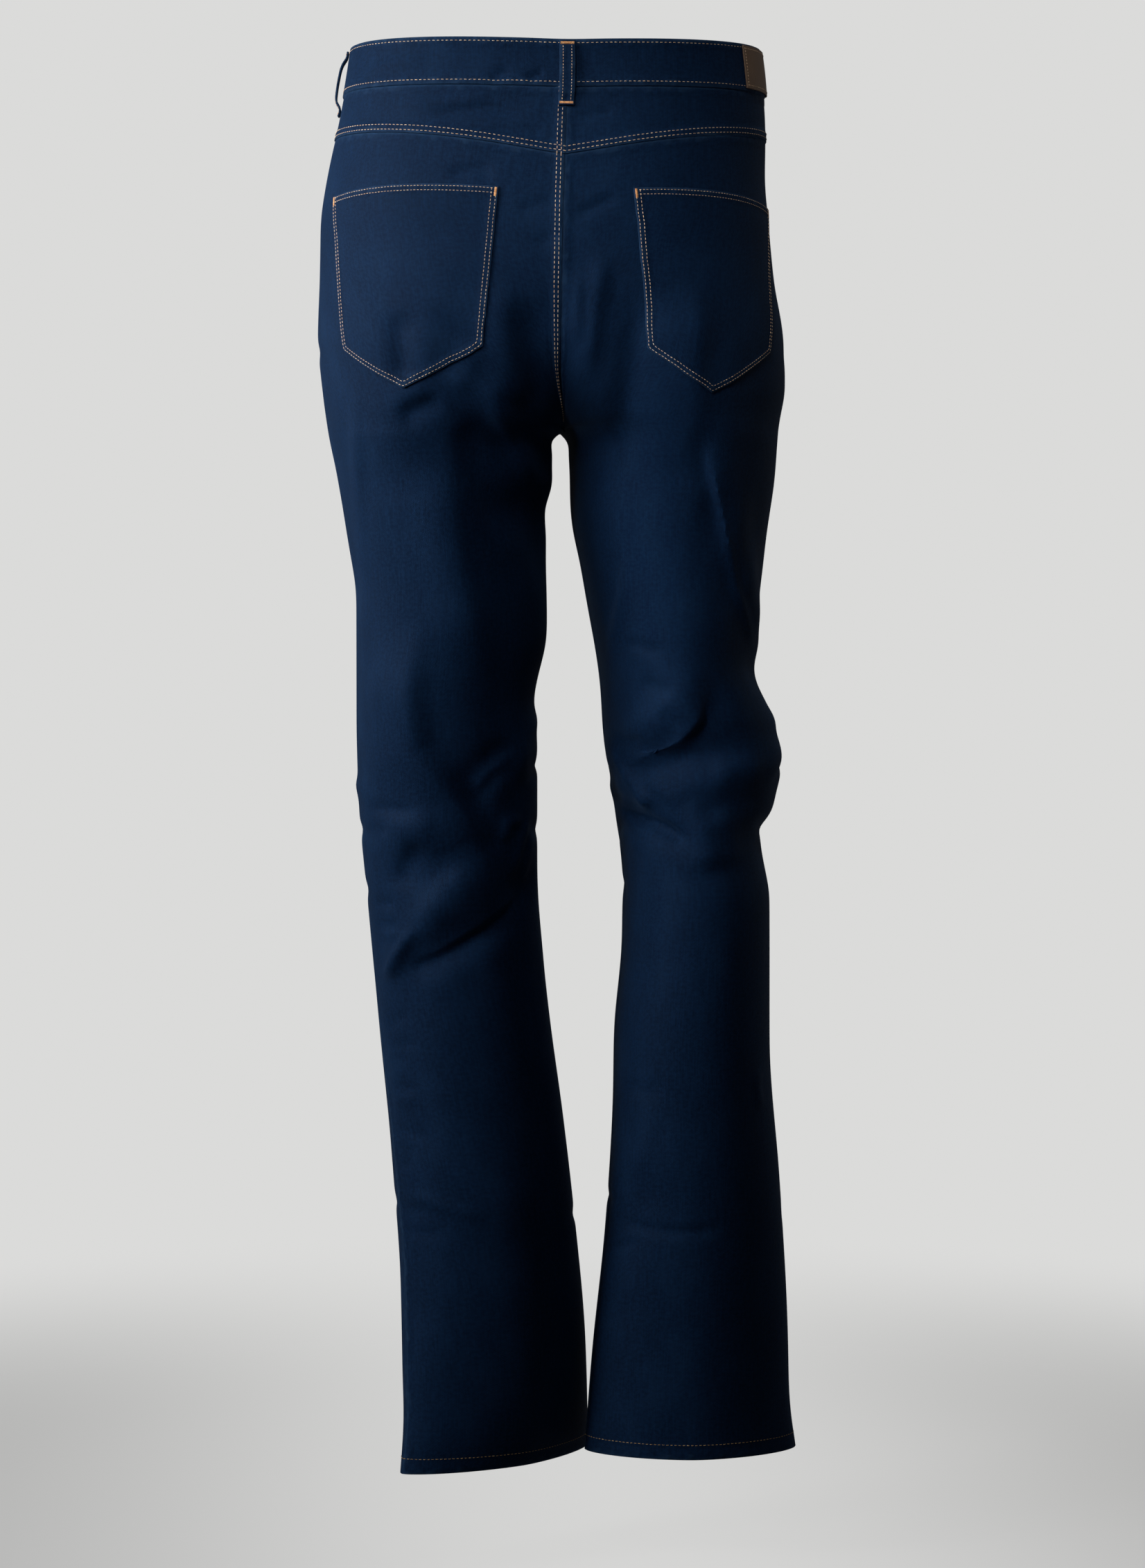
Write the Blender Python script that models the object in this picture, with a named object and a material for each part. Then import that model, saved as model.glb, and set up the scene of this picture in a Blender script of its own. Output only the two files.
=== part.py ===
"""Straight-leg stretch jeans, as worn and hollow, built from their cut pieces.

The front faces -Y, the wearer's left is +X and the origin is in the middle of the waist,
14 mm under the waistband's top edge at the sides. Sizes are in millimetres and become metres when a
mesh is made. Every piece of cloth is a closed wall worked out from rings round each side.
"""

import math
from collections import namedtuple

import bmesh
import bpy
import numpy as np
from mathutils import Vector

METRES_PER_MM = 0.001

# Cloth and sewing.
CLOTH = 1.4  # one layer of stretch twill, seam allowances included
HEM_CLOTH = 2.6  # the turned hem is three layers
HEM_HEIGHT = 12.0
POCKET_CLOTH = 1.2
BAND_CLOTH = 2.4  # two layers and their turnings
LOOP_CLOTH = 1.6
PATCH_LEATHER = 1.3
SEAM_GAP = 0.3  # between neighbouring pieces, and between layers that lie on each other

# Heights.
CROTCH = -268.5
LEFT_HEM = -1041.0
RIGHT_HEM = -1035.0
BAND_HEIGHT = 34.0
BAND_MIDDLE = -3.0  # at the sides
BAND_STAND = 1.0  # the waistband's outer face stands out from the cloth under it

# The yoke seam is level at the sides and drops towards the centre back.
YOKE_SIDE = -53.5
YOKE_DROP = 21.0
YOKE_CURVE = 3.0

# The two thighs cross above the crotch at this slope, which cuts the seat's curve.
THIGH_CROSSING = 1.28

# One side's outline at a height: how far it reaches outward, back and front of the
# origin, how far its outseam is turned towards the back, and how square its ring is.
Ring = namedtuple("Ring", "z outer back front turn square")
LEFT_RINGS = [
    Ring(20, 151.5, 103, 100, 0, 2.4),
    Ring(-15, 157.0, 109, 106, 0, 2.4),
    Ring(-50, 164.0, 118, 113, 0, 2.35),
    Ring(-80, 170.5, 127, 118, 0, 2.3),
    Ring(-115, 175.5, 134, 121, 0, 2.3),
    Ring(-155, 176.5, 138, 120, 0, 2.3),
    Ring(-200, 178.0, 136, 116, 0, 2.3),
    Ring(-235, 175.0, 130, 113, 0, 2.25),
    Ring(-268, 170.5, 120, 112, 0, 2.2),
    Ring(-300, 164.0, 110, 110, 0, 2.15),
    Ring(-345, 156.5, 101, 106, 0, 2.1),
    Ring(-395, 149.8, 92, 100, 0, 2.1),
    Ring(-480, 149.8, 78, 91, 0, 2.1),
    Ring(-543, 148.2, 68, 83, 0, 2.1),
    Ring(-620, 141.6, 64, 80, 0, 2.1),
    Ring(-710, 133.6, 63, 71, 5, 2.1),
    Ring(-810, 124.3, 58, 62, 15, 2.0),
    Ring(-913, 119.0, 56, 60, 25, 1.85),
    Ring(-1000, 119.0, 56, 60, 32, 1.7),
    Ring(-1041, 122.0, 57, 61, 35, 1.6),
]
RIGHT_RINGS = [
    Ring(20, 149.5, 103, 100, 0, 2.4),
    Ring(-15, 153.5, 109, 106, 0, 2.4),
    Ring(-50, 155.0, 118, 113, 0, 2.35),
    Ring(-80, 154.5, 127, 118, 0, 2.3),
    Ring(-115, 157.0, 134, 121, 0, 2.3),
    Ring(-155, 160.5, 138, 120, 0, 2.3),
    Ring(-200, 167.5, 136, 116, 0, 2.3),
    Ring(-235, 169.0, 130, 113, 0, 2.25),
    Ring(-268, 164.5, 120, 112, 0, 2.2),
    Ring(-300, 163.0, 112, 115, 0, 2.15),
    Ring(-345, 157.5, 102, 113, 0, 2.1),
    Ring(-392, 152.5, 92, 110, 0, 2.1),
    Ring(-441, 147.5, 83, 108, 0, 2.1),
    Ring(-480, 163.0, 76, 106, 0, 2.1),
    Ring(-514, 170.5, 67, 103, 0, 2.1),
    Ring(-547, 165.5, 64, 103, 0, 2.1),
    Ring(-570, 155.5, 64, 103, 0, 2.1),
    Ring(-620, 162.0, 66, 95, 0, 2.1),
    Ring(-723, 161.6, 66, 78, 0, 2.1),
    Ring(-832, 169.5, 61, 65, 0, 2.0),
    Ring(-931, 175.5, 54, 55, 0, 1.85),
    Ring(-1000, 177.5, 50, 48, 0, 1.72),
    Ring(-1035, 182.0, 48, 45, 0, 1.65),
]

# The inner edge of each leg, outward from the origin, and the line of the centre seams.
Edge = namedtuple("Edge", "z x")
LEFT_INNER = [
    Edge(-275, 4.0),
    Edge(-304, 3.5),
    Edge(-327, 8.5),
    Edge(-414, 7.0),
    Edge(-471, 16.5),
    Edge(-503, 14.0),
    Edge(-593, 14.0),
    Edge(-664, 9.4),
    Edge(-710, 4.7),
    Edge(-782, -5.0),
    Edge(-854, -14.0),
    Edge(-953, -25.0),
    Edge(-1041, -30.0),
]
RIGHT_INNER = [
    Edge(-275, 8.5),
    Edge(-290, 9.9),
    Edge(-330, 11.5),
    Edge(-358, 17.0),
    Edge(-392, 23.4),
    Edge(-453, 33.8),
    Edge(-494, 36.8),
    Edge(-537, 44.0),
    Edge(-610, 51.4),
    Edge(-648, 50.7),
    Edge(-723, 44.0),
    Edge(-767, 43.0),
    Edge(-863, 37.0),
    Edge(-964, 26.5),
    Edge(-1035, 21.0),
]
CENTRE_LINE = [
    Edge(20, 0.0),
    Edge(-15, 0.5),
    Edge(-50, 2.4),
    Edge(-115, 5.5),
    Edge(-190, 7.0),
    Edge(-225, 6.5),
    Edge(-248, 3.0),
    Edge(-268.5, -3.0),
]

# The largest folds. Each runs from one place to another on a leg, by the angle round it
# (0 at the outseam, 90 at the middle of the back, -90 at the middle of the front, 180 at
# the inseam) and the height. A ridge stands out and a negative height is a trough.
Fold = namedtuple("Fold", "side angle z to_angle to_z half_width height")
LEFT, RIGHT = 1, -1
FOLDS = [
    # The seat and thighs: a dent under each pocket, a drag line down the right thigh and a
    # hollow inside the left one.
    Fold(LEFT, 80, -185, 86, -245, 17, -4.0),
    Fold(LEFT, 62, -240, 66, -300, 24, 2.5),
    Fold(LEFT, 102, -250, 124, -292, 19, -5.0),
    Fold(LEFT, 124, -292, 150, -365, 20, -5.0),
    Fold(LEFT, 92, -300, 106, -440, 24, 3.5),
    Fold(RIGHT, 60, -180, 76, -290, 20, 3.0),
    Fold(RIGHT, 76, -290, 52, -365, 15, 4.0),
    Fold(RIGHT, 52, -365, 10, -441, 14, 4.5),
    # Behind the right knee, a lobe over a sharp crease and a second crease below.
    Fold(RIGHT, 140, -512, 104, -496, 11, -8.0),
    Fold(RIGHT, 104, -496, 76, -462, 14, -6.5),
    Fold(RIGHT, 135, -488, 105, -474, 13, 5.0),
    Fold(RIGHT, 105, -474, 90, -448, 14, 3.5),
    Fold(RIGHT, 120, -530, 20, -512, 17, 5.0),
    Fold(RIGHT, 160, -545, 96, -571, 11, -5.0),
    Fold(RIGHT, 172, -502, 136, -545, 10, 3.5),
    # Behind the left knee, a long crease rising to the inseam with a ridge over it.
    Fold(LEFT, 54, -662, 106, -632, 11, -6.5),
    Fold(LEFT, 106, -632, 150, -600, 13, -6.0),
    Fold(LEFT, 34, -668, 78, -620, 14, 4.5),
    Fold(LEFT, 78, -620, 112, -590, 18, 5.0),
    Fold(LEFT, 112, -530, 146, -500, 13, 5.0),
    Fold(LEFT, 92, -540, 128, -505, 13, -4.5),
    Fold(LEFT, 45, -567, 80, -563, 17, 3.5),
    Fold(LEFT, 60, -600, 84, -595, 16, -3.0),
    # Lower legs.
    Fold(LEFT, 20, -822, 105, -842, 15, 2.5),
    Fold(RIGHT, 160, -841, 66, -856, 12, -3.0),
    Fold(RIGHT, 168, -866, 124, -861, 10, -2.5),
    # Front of the knees and the lap.
    Fold(RIGHT, -150, -470, -60, -440, 18, -3.5),
    Fold(RIGHT, -170, -590, -100, -640, 16, -3.5),
    Fold(RIGHT, -20, -600, -90, -660, 18, -3.5),
    Fold(LEFT, -30, -640, -100, -600, 16, -3.5),
    Fold(LEFT, -165, -560, -110, -600, 16, -3.5),
    Fold(LEFT, -20, -245, -80, -275, 16, -3.5),
    Fold(RIGHT, -20, -245, -80, -275, 16, -3.5),
]

# Rows and columns of the panels.
COLUMNS = 12
FRONT_COLUMNS = 11
BAND_COLUMNS = 13  # for each quarter of the waist
SEAT_ROWS = 16  # from the top seam to the fork of the legs
FORK_LEVELS = [-271.5, -276, -283, -294, -308, -324]
THIGH_LEVELS = [-342, -362, -383, -405, -427]
KNEE_TOP, KNEE_BOTTOM, KNEE_STEP = -444, -684, 12
SHIN_ROWS = 13

# Back pockets, on the panel's back as laid out from the centre back seam.
PocketCorner = namedtuple("PocketCorner", "x z")
LEFT_POCKET = [
    PocketCorner(51.0, -98.5),
    PocketCorner(62.5, -212.0),
    PocketCorner(118.0, -241.0),
    PocketCorner(159.5, -212.0),
    PocketCorner(166.0, -99.5),
]
RIGHT_POCKET = [
    PocketCorner(45.5, -98.5),
    PocketCorner(55.5, -212.0),
    PocketCorner(101.0, -243.0),
    PocketCorner(148.5, -213.0),
    PocketCorner(152.5, -105.0),
]

# Belt loops: where each is round the waist, and how far it stands off the waistband.
Loop = namedtuple("Loop", "name side angle stand")
LOOPS = [
    Loop("belt_loop_back", LEFT, 90.0, 1.2),
    Loop("belt_loop_side_left", LEFT, -3.0, 3.6),
    Loop("belt_loop_side_right", RIGHT, -9.0, 2.0),
    Loop("belt_loop_front_left", LEFT, -62.0, 1.2),
    Loop("belt_loop_front_right", RIGHT, -62.0, 1.2),
]
LOOP_WIDTH = 10.8
LOOP_TOP_INSET = 0.5
LOOP_TAIL = 13.5  # below the waistband

# Leather patch on the right of the waistband.
PATCH_FROM, PATCH_TO = 3.0, 33.0  # degrees round the waist from the side
PATCH_HEIGHT = 31.0

# Fly shield and button at the centre front.
SHIELD_LEFT, SHIELD_RIGHT = -16.0, 26.0
SHIELD_BOTTOM = -150.0
BAND_TAIL = 0.24  # how far the right end runs under the left one, as a share of a quarter
BUTTON_SIDES = 24
# The button's turned profile from the middle of its back to the middle of its dished face,
# as radius and height.
BUTTON_PROFILE = [
    (0.0, 0.0),
    (7.3, 0.0),
    (8.5, 1.1),
    (8.5, 2.2),
    (7.6, 3.2),
    (6.1, 2.9),
    (5.1, 2.2),
    (0.0, 2.5),
]

# Linear colours, read from the photo's middle tones.
DENIM = (0.0085, 0.022, 0.062)
DENIM_DARK = (0.007, 0.018, 0.050)
LEATHER = (0.19, 0.105, 0.052)
BRASS = (0.42, 0.29, 0.14)


def tangents(rows, column):
    """Slopes of a smooth curve through a column, never overshooting its rows."""
    heights = [row.z for row in rows]
    values = [getattr(row, column) for row in rows]
    steps = [
        (values[i + 1] - values[i]) / (heights[i + 1] - heights[i])
        for i in range(len(rows) - 1)
    ]
    inner = [
        0.0 if before * after <= 0 else 2 * before * after / (before + after)
        for before, after in zip(steps, steps[1:])
    ]
    return [steps[0], *inner, steps[-1]]


def smooth(rows, column, z):
    """A column's value at the heights z, on that smooth curve."""
    z = np.asarray(z, float)
    heights = np.array([row.z for row in rows], float)
    values = np.array([getattr(row, column) for row in rows], float)
    slopes = np.array(tangents(rows, column))
    index = np.clip(np.searchsorted(-heights, -z, side="right") - 1, 0, len(rows) - 2)
    span = heights[index + 1] - heights[index]
    t = np.clip((z - heights[index]) / span, 0, 1)
    return (
        values[index] * (2 * t**3 - 3 * t**2 + 1)
        + values[index + 1] * (3 * t**2 - 2 * t**3)
        + slopes[index] * span * (t**3 - 2 * t**2 + t)
        + slopes[index + 1] * span * (t**3 - t**2)
    )


def blend(value, start, end):
    """0 at start and 1 at end, with level ends."""
    t = np.clip((value - start) / (end - start), 0, 1)
    return t * t * (3 - 2 * t)


def centre_cut(side, z):
    """Where this side's pieces end at the centre seams, outward from the origin."""
    return side * smooth(CENTRE_LINE, "x", z) + SEAM_GAP / 2


def inner_edge(side, z):
    """The inner edge of this side's tube, which passes the centre seams over the crotch."""
    z = np.asarray(z, float)
    rows = LEFT_INNER if side == LEFT else RIGHT_INNER
    crotch_row = Edge(CROTCH, float(centre_cut(side, CROTCH)))
    rings = LEFT_RINGS if side == LEFT else RIGHT_RINGS
    cut = centre_cut(side, z)
    crossing = np.minimum(THIGH_CROSSING * (z - CROTCH), smooth(rings, "outer", z) - cut)
    return np.where(z > CROTCH, cut - crossing, smooth([crotch_row, *rows], "x", z))


def tube(side, z):
    """Centre, half width, half depth, turn and squareness of one side's ring at z."""
    rings = LEFT_RINGS if side == LEFT else RIGHT_RINGS
    outer = smooth(rings, "outer", z)
    inner = inner_edge(side, z)
    back = smooth(rings, "back", z)
    front = smooth(rings, "front", z)
    turn = np.radians(smooth(rings, "turn", z))
    across, deep = (outer - inner) / 2, (back + front) / 2
    # The ring's own half sizes, from how wide and deep it looks when turned.
    cos2, sin2 = np.cos(turn) ** 2, np.sin(turn) ** 2
    half_width = np.sqrt((across**2 * cos2 - deep**2 * sin2) / (cos2 - sin2))
    half_depth = np.sqrt((deep**2 * cos2 - across**2 * sin2) / (cos2 - sin2))
    centre = (outer + inner) / 2, (back - front) / 2
    return centre, half_width, half_depth, turn, smooth(rings, "square", z)


def last_angle(side, z):
    """The angle, in radians, at which this side's ring meets the centre seam or inseam."""
    (centre_x, _), half_width, _, _, square = tube(side, z)
    cosine = np.clip((centre_cut(side, z) - centre_x) / half_width, -1, 1)
    cosine = np.sign(cosine) * np.abs(cosine) ** (square / 2)
    return np.where(np.asarray(z, float) > CROTCH, np.arccos(cosine), math.pi)


def fold_height(side, angle, z, radius):
    """How far the folds move the cloth out at these places on one leg."""
    total = np.zeros(np.broadcast(angle, z).shape)
    for fold in FOLDS:
        if fold.side != side:
            continue
        reach = math.radians(fold.to_angle - fold.angle) * radius
        fall = fold.to_z - fold.z
        along = (angle - math.radians(fold.angle)) * radius
        down = z - fold.z
        t = (along * reach + down * fall) / (reach**2 + fall**2)
        held = np.clip(t, 0, 1)
        distance2 = (along - held * reach) ** 2 + (down - held * fall) ** 2
        fade = 0.35 + 0.65 * blend(np.minimum(t, 1 - t), -0.1, 0.25)
        total += fold.height * fade * np.exp(-distance2 / fold.half_width**2)
    return total


def smooth_surface(side, angle, z):
    """A point on one side's ring, before its folds."""
    (centre_x, centre_y), half_width, half_depth, turn, square = tube(side, z)
    cosine, sine = np.cos(angle), np.sin(angle)
    wide = half_width * np.sign(cosine) * np.abs(cosine) ** (2 / square)
    deep = half_depth * np.sign(sine) * np.abs(sine) ** (2 / square)
    x = centre_x + wide * np.cos(turn) - deep * np.sin(turn)
    y = centre_y + wide * np.sin(turn) + deep * np.cos(turn)
    return np.stack(np.broadcast_arrays(side * x, y, z), axis=-1)


def unit(vectors):
    return vectors / np.linalg.norm(vectors, axis=-1, keepdims=True)


def normal_of(surface, side, angle, z):
    """The outward direction of a surface given as a function of side, angle and height."""
    angle_step, height_step = 0.02, 1.5
    round_it = surface(side, angle + angle_step, z) - surface(side, angle - angle_step, z)
    up_it = surface(side, angle, z + height_step) - surface(side, angle, z - height_step)
    return unit(side * np.cross(round_it, up_it))


def folded_surface(side, angle, z):
    """A point on the cloth's outer face, folds and all."""
    _, half_width, half_depth, _, _ = tube(side, z)
    lift = fold_height(side, angle, z, (half_width + half_depth) / 2)
    normal = normal_of(smooth_surface, side, angle, z)
    return smooth_surface(side, angle, z) + lift[..., None] * normal


def panel_walls(side, z_rows, columns, facing, thickness=lambda z: CLOTH):
    """Outer points and inner points of a panel, from the outseam to the middle.

    z_rows gives each row's height for a share of the way across, and facing is 1 for the
    back and -1 for the front. Its edges stop half a seam gap short of the seams.
    """
    share = np.linspace(0, 1, columns + 1)
    z = np.array([np.broadcast_to(row(share), share.shape) for row in z_rows], float)
    share = np.broadcast_to(share, z.shape)
    _, _, half_depth, _, square = tube(side, z)
    end = last_angle(side, z[:, -1:])
    half_gap = np.arcsin((SEAM_GAP / 2 / half_depth) ** (square / 2))
    above_crotch = blend(z, CROTCH, CROTCH + 20)
    angle = facing * (half_gap + share * (end - half_gap * (2 - above_crotch)))
    outer = folded_surface(side, angle, z)
    inward = np.vectorize(thickness)(z)[..., None]
    inner = outer - inward * normal_of(folded_surface, side, angle, z)
    return outer, mitred(side, facing, inner, z)


def mitred(side, facing, points, z):
    """Points of a wall's inside kept on their own side of the outseam and the inseam."""
    (centre_x, centre_y), _, _, turn, _ = tube(side, z)
    across = side * points[..., 0] - centre_x
    deep = points[..., 1] - centre_y
    past = SEAM_GAP / 2 - facing * (deep * np.cos(turn) - across * np.sin(turn))
    push = facing * np.maximum(past, 0)
    move = np.stack([-side * push * np.sin(turn), push * np.cos(turn), 0 * push], axis=-1)
    return points + move


def colour_of(name, colour, roughness, metallic=0.0):
    material = bpy.data.materials.new(name)
    material.use_nodes = True
    surface = material.node_tree.nodes["Principled BSDF"]
    surface.inputs["Base Color"].default_value = (*colour, 1)
    surface.inputs["Roughness"].default_value = roughness
    surface.inputs["Metallic"].default_value = metallic
    return material


def add_object(name, mesh, material):
    mesh.materials.append(material)
    mesh.shade_smooth()
    mesh.set_sharp_from_angle(angle=math.radians(50))
    piece = bpy.data.objects.new(name, mesh)
    bpy.context.collection.objects.link(piece)
    return piece


def mesh_from(name, points, faces):
    mesh = bpy.data.meshes.new(name)
    vertices = [Vector(point) * METRES_PER_MM for point in points]
    mesh.from_pydata(vertices, [], faces)
    tidy = bmesh.new()
    tidy.from_mesh(mesh)
    bmesh.ops.recalc_face_normals(tidy, faces=tidy.faces)
    bmesh.ops.triangulate(tidy, faces=tidy.faces)
    tidy.to_mesh(mesh)
    tidy.free()
    return mesh


def add_wall(name, outer, inner, material):
    """A closed wall between two grids of points with the same rows and columns."""
    rows, columns = outer.shape[:2]
    size = rows * columns

    def at(row, column, layer):
        return layer * size + row * columns + column

    faces = []
    for row in range(rows - 1):
        for column in range(columns - 1):
            corners = [(row, column), (row, column + 1), (row + 1, column + 1), (row + 1, column)]
            faces.append([at(r, c, 0) for r, c in corners])
            faces.append([at(r, c, 1) for r, c in reversed(corners)])
    border = [(0, c) for c in range(columns)]
    border += [(r, columns - 1) for r in range(1, rows)]
    border += [(rows - 1, c) for c in range(columns - 2, -1, -1)]
    border += [(r, 0) for r in range(rows - 2, 0, -1)]
    for here, there in zip(border, border[1:] + border[:1]):
        faces.append([at(*here, 0), at(*here, 1), at(*there, 1), at(*there, 0)])
    points = np.concatenate([outer.reshape(-1, 3), inner.reshape(-1, 3)])
    return add_object(name, mesh_from(name, points, faces), material)


def leg_levels(side):
    """Heights of a panel's rows under the fork, close together there and at the knee."""
    hem = LEFT_HEM if side == LEFT else RIGHT_HEM
    knee = list(np.arange(KNEE_TOP, KNEE_BOTTOM - 1, -KNEE_STEP))
    hem_top = hem + HEM_HEIGHT
    shin = list(np.linspace(KNEE_BOTTOM, hem_top + 1, SHIN_ROWS + 1)[1:])
    return FORK_LEVELS + THIGH_LEVELS + knee + shin + [hem_top, hem]


def seat_rows(side, facing, top):
    """Rows from the top seam to the fork, evenly apart both at the side and along the
    centre seam, which is nearly level where it passes under the seat."""
    z = np.linspace(float(top(np.array(1.0))), CROTCH, 400)
    seam = smooth_surface(side, facing * last_angle(side, z), z)
    length = np.concatenate([[0], np.cumsum(np.linalg.norm(np.diff(seam, axis=0), axis=1))])
    rows = []
    for i in range(SEAT_ROWS + 1):
        part = i / SEAT_ROWS
        middle = float(np.interp(part * length[-1], length, z))
        rows.append(seat_row(top, part, middle - float(top(np.array(1.0))) * (1 - part)))
    return rows


def seat_row(top, part, middle):
    """One such row: the top seam's own line, fading out on the way down."""
    side_end = part * CROTCH
    return lambda share: top(share) * (1 - part) + side_end + (middle - side_end) * share**2


def yoke_seam(share):
    """Height of the yoke seam, from the outseam (0) to the centre back (1)."""
    return YOKE_SIDE - YOKE_DROP * share**YOKE_CURVE


def band_middle(facing, share):
    """Height of the middle of the waistband, from the side (0) to the centre (1)."""
    dip = 4.5 if facing > 0 else 9.0
    return BAND_MIDDLE - dip * share**2


def band_bottom(facing):
    return lambda share: band_middle(facing, share) - BAND_HEIGHT / 2 - SEAM_GAP


def level(z):
    return lambda share: z + 0 * share


def between(upper, lower, part):
    return lambda share: upper(share) * (1 - part) + lower(share) * part


def add_panel(name, side, facing, top, columns, material):
    """A leg panel from its top seam to the hem, with a thicker turned hem."""
    rows = seat_rows(side, facing, top) + [level(z) for z in leg_levels(side)]
    hem_top = (LEFT_HEM if side == LEFT else RIGHT_HEM) + HEM_HEIGHT
    outer, inner = panel_walls(
        side, rows, columns, facing, lambda z: HEM_CLOTH if z < hem_top + 0.5 else CLOTH
    )
    add_wall(name, outer, inner, material)
    return outer


def add_yoke(name, side, material):
    rows = [
        between(band_bottom(1), lambda share: yoke_seam(share) + SEAM_GAP, part)
        for part in (0, 0.33, 0.67, 1)
    ]
    outer, inner = panel_walls(side, rows, COLUMNS, 1)
    add_wall(name, outer, inner, material)


def band_stations():
    """Side, facing, share of the quarter and inset of each column of the waistband, from the
    left end at the centre front, round the back, to the right end under the left one."""
    quarter = np.linspace(0, 1, BAND_COLUMNS + 1)
    tucked = -(BAND_CLOTH + SEAM_GAP)
    stations = [(LEFT, -1, share, 0) for share in quarter[::-1]]
    stations += [(LEFT, 1, share, 0) for share in quarter[1:]]
    stations += [(RIGHT, 1, share, 0) for share in quarter[-2::-1]]
    stations += [(RIGHT, -1, share, 0) for share in quarter[1:-3]]
    stations += [
        (RIGHT, -1, share, part * tucked)
        for share, part in zip(quarter[-3:], (0.3, 0.85, 1))
    ]
    return stations + [(LEFT, -1, 1 - step * BAND_TAIL / 3, tucked) for step in (1, 2, 3)]


def band_row(height_share):
    """One row of the waistband's outer points and their outward directions."""
    points, directions = [], []
    for side, facing, share, inset in band_stations():
        z = np.array(band_middle(facing, share) + (height_share - 0.5) * BAND_HEIGHT)
        angle = np.array(facing * share * last_angle(side, z))
        normal = normal_of(smooth_surface, side, angle, z)
        points.append(smooth_surface(side, angle, z) + (BAND_STAND + inset) * normal)
        directions.append(normal)
    return np.array(points), np.array(directions)


def add_waistband(material):
    outer_rows, inner_rows = [], []
    for height_share in (1, 0.5, 0):
        points, directions = band_row(height_share)
        outer_rows.append(points)
        inner_rows.append(points - BAND_CLOTH * directions)
    outer, inner = np.array(outer_rows), np.array(inner_rows)
    add_wall("waistband", outer, inner, material)
    return outer


def cut_patch(name, grid, planes, gap, thickness, material):
    """A piece that lies on a panel: the part of its outer points inside the planes, moved
    out by the gap, with the given thickness. Each plane is a point and an outward side."""
    rows, columns = grid.shape[:2]
    faces = [
        [r * columns + c, r * columns + c + 1, (r + 1) * columns + c + 1, (r + 1) * columns + c]
        for r in range(rows - 1)
        for c in range(columns - 1)
    ]
    shape = bmesh.new()
    for point in grid.reshape(-1, 3):
        shape.verts.new(point)
    shape.verts.ensure_lookup_table()
    for face in faces:
        shape.faces.new([shape.verts[i] for i in face])
    bmesh.ops.triangulate(shape, faces=shape.faces)
    for point, outward in planes:
        everything = shape.verts[:] + shape.edges[:] + shape.faces[:]
        bmesh.ops.bisect_plane(
            shape,
            geom=everything,
            dist=0.02,
            plane_co=Vector(point),
            plane_no=Vector(outward),
            clear_outer=True,
        )
    bmesh.ops.remove_doubles(shape, verts=shape.verts, dist=0.3)
    bmesh.ops.triangulate(shape, faces=shape.faces)
    away = Vector(np.mean(grid.reshape(-1, 3), axis=0)) * Vector((1, 1, 0))
    shape.normal_update()
    if sum((face.normal.dot(away) for face in shape.faces), 0.0) < 0:
        bmesh.ops.reverse_faces(shape, faces=shape.faces)
    shape.normal_update()
    lower = [vert.co + gap * vert.normal for vert in shape.verts]
    upper = [vert.co + (gap + thickness) * vert.normal for vert in shape.verts]
    count = len(lower)
    shape.verts.index_update()
    solid = []
    for face in shape.faces:
        corners = [vert.index for vert in face.verts]
        solid.append([i + count for i in corners])
        solid.append(list(reversed(corners)))
    for edge in shape.edges:
        if not edge.is_boundary:
            continue
        loop = edge.link_loops[0]
        here, there = loop.vert.index, loop.link_loop_next.vert.index
        solid.append([here, there, there + count, here + count])
    shape.free()
    return add_object(name, mesh_from(name, lower + upper, solid), material)


def point_at_x(side, facing, x, z):
    """The angle and outward direction where one side's cloth is x outward from the origin."""
    angles = np.linspace(0, float(last_angle(side, z)), 181)
    outs = side * smooth_surface(side, facing * angles, np.full(181, z))[:, 0]
    angle = float(np.interp(-x, -outs, angles))
    place = np.array(facing * angle)
    height = np.array(float(z))
    return smooth_surface(side, place, height), normal_of(smooth_surface, side, place, height)


def add_pocket(name, side, corners, grid, material):
    """A patch pocket, cut from the back panel's own surface by its outline."""
    placed = [point_at_x(side, 1, corner.x, corner.z) for corner in corners]
    middle = np.mean([point for point, _ in placed], axis=0)
    planes = []
    for here, there in zip(placed, placed[1:] + placed[:1]):
        along = there[0] - here[0]
        normal = here[1] + there[1]
        outward = unit(np.cross(along, normal))
        if np.dot(outward, middle - here[0]) > 0:
            outward = -outward
        planes.append(((here[0] + there[0]) / 2, outward))
    seat_only = grid[: SEAT_ROWS + 1]
    return cut_patch(name, seat_only, planes, SEAM_GAP, POCKET_CLOTH, material)


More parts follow.
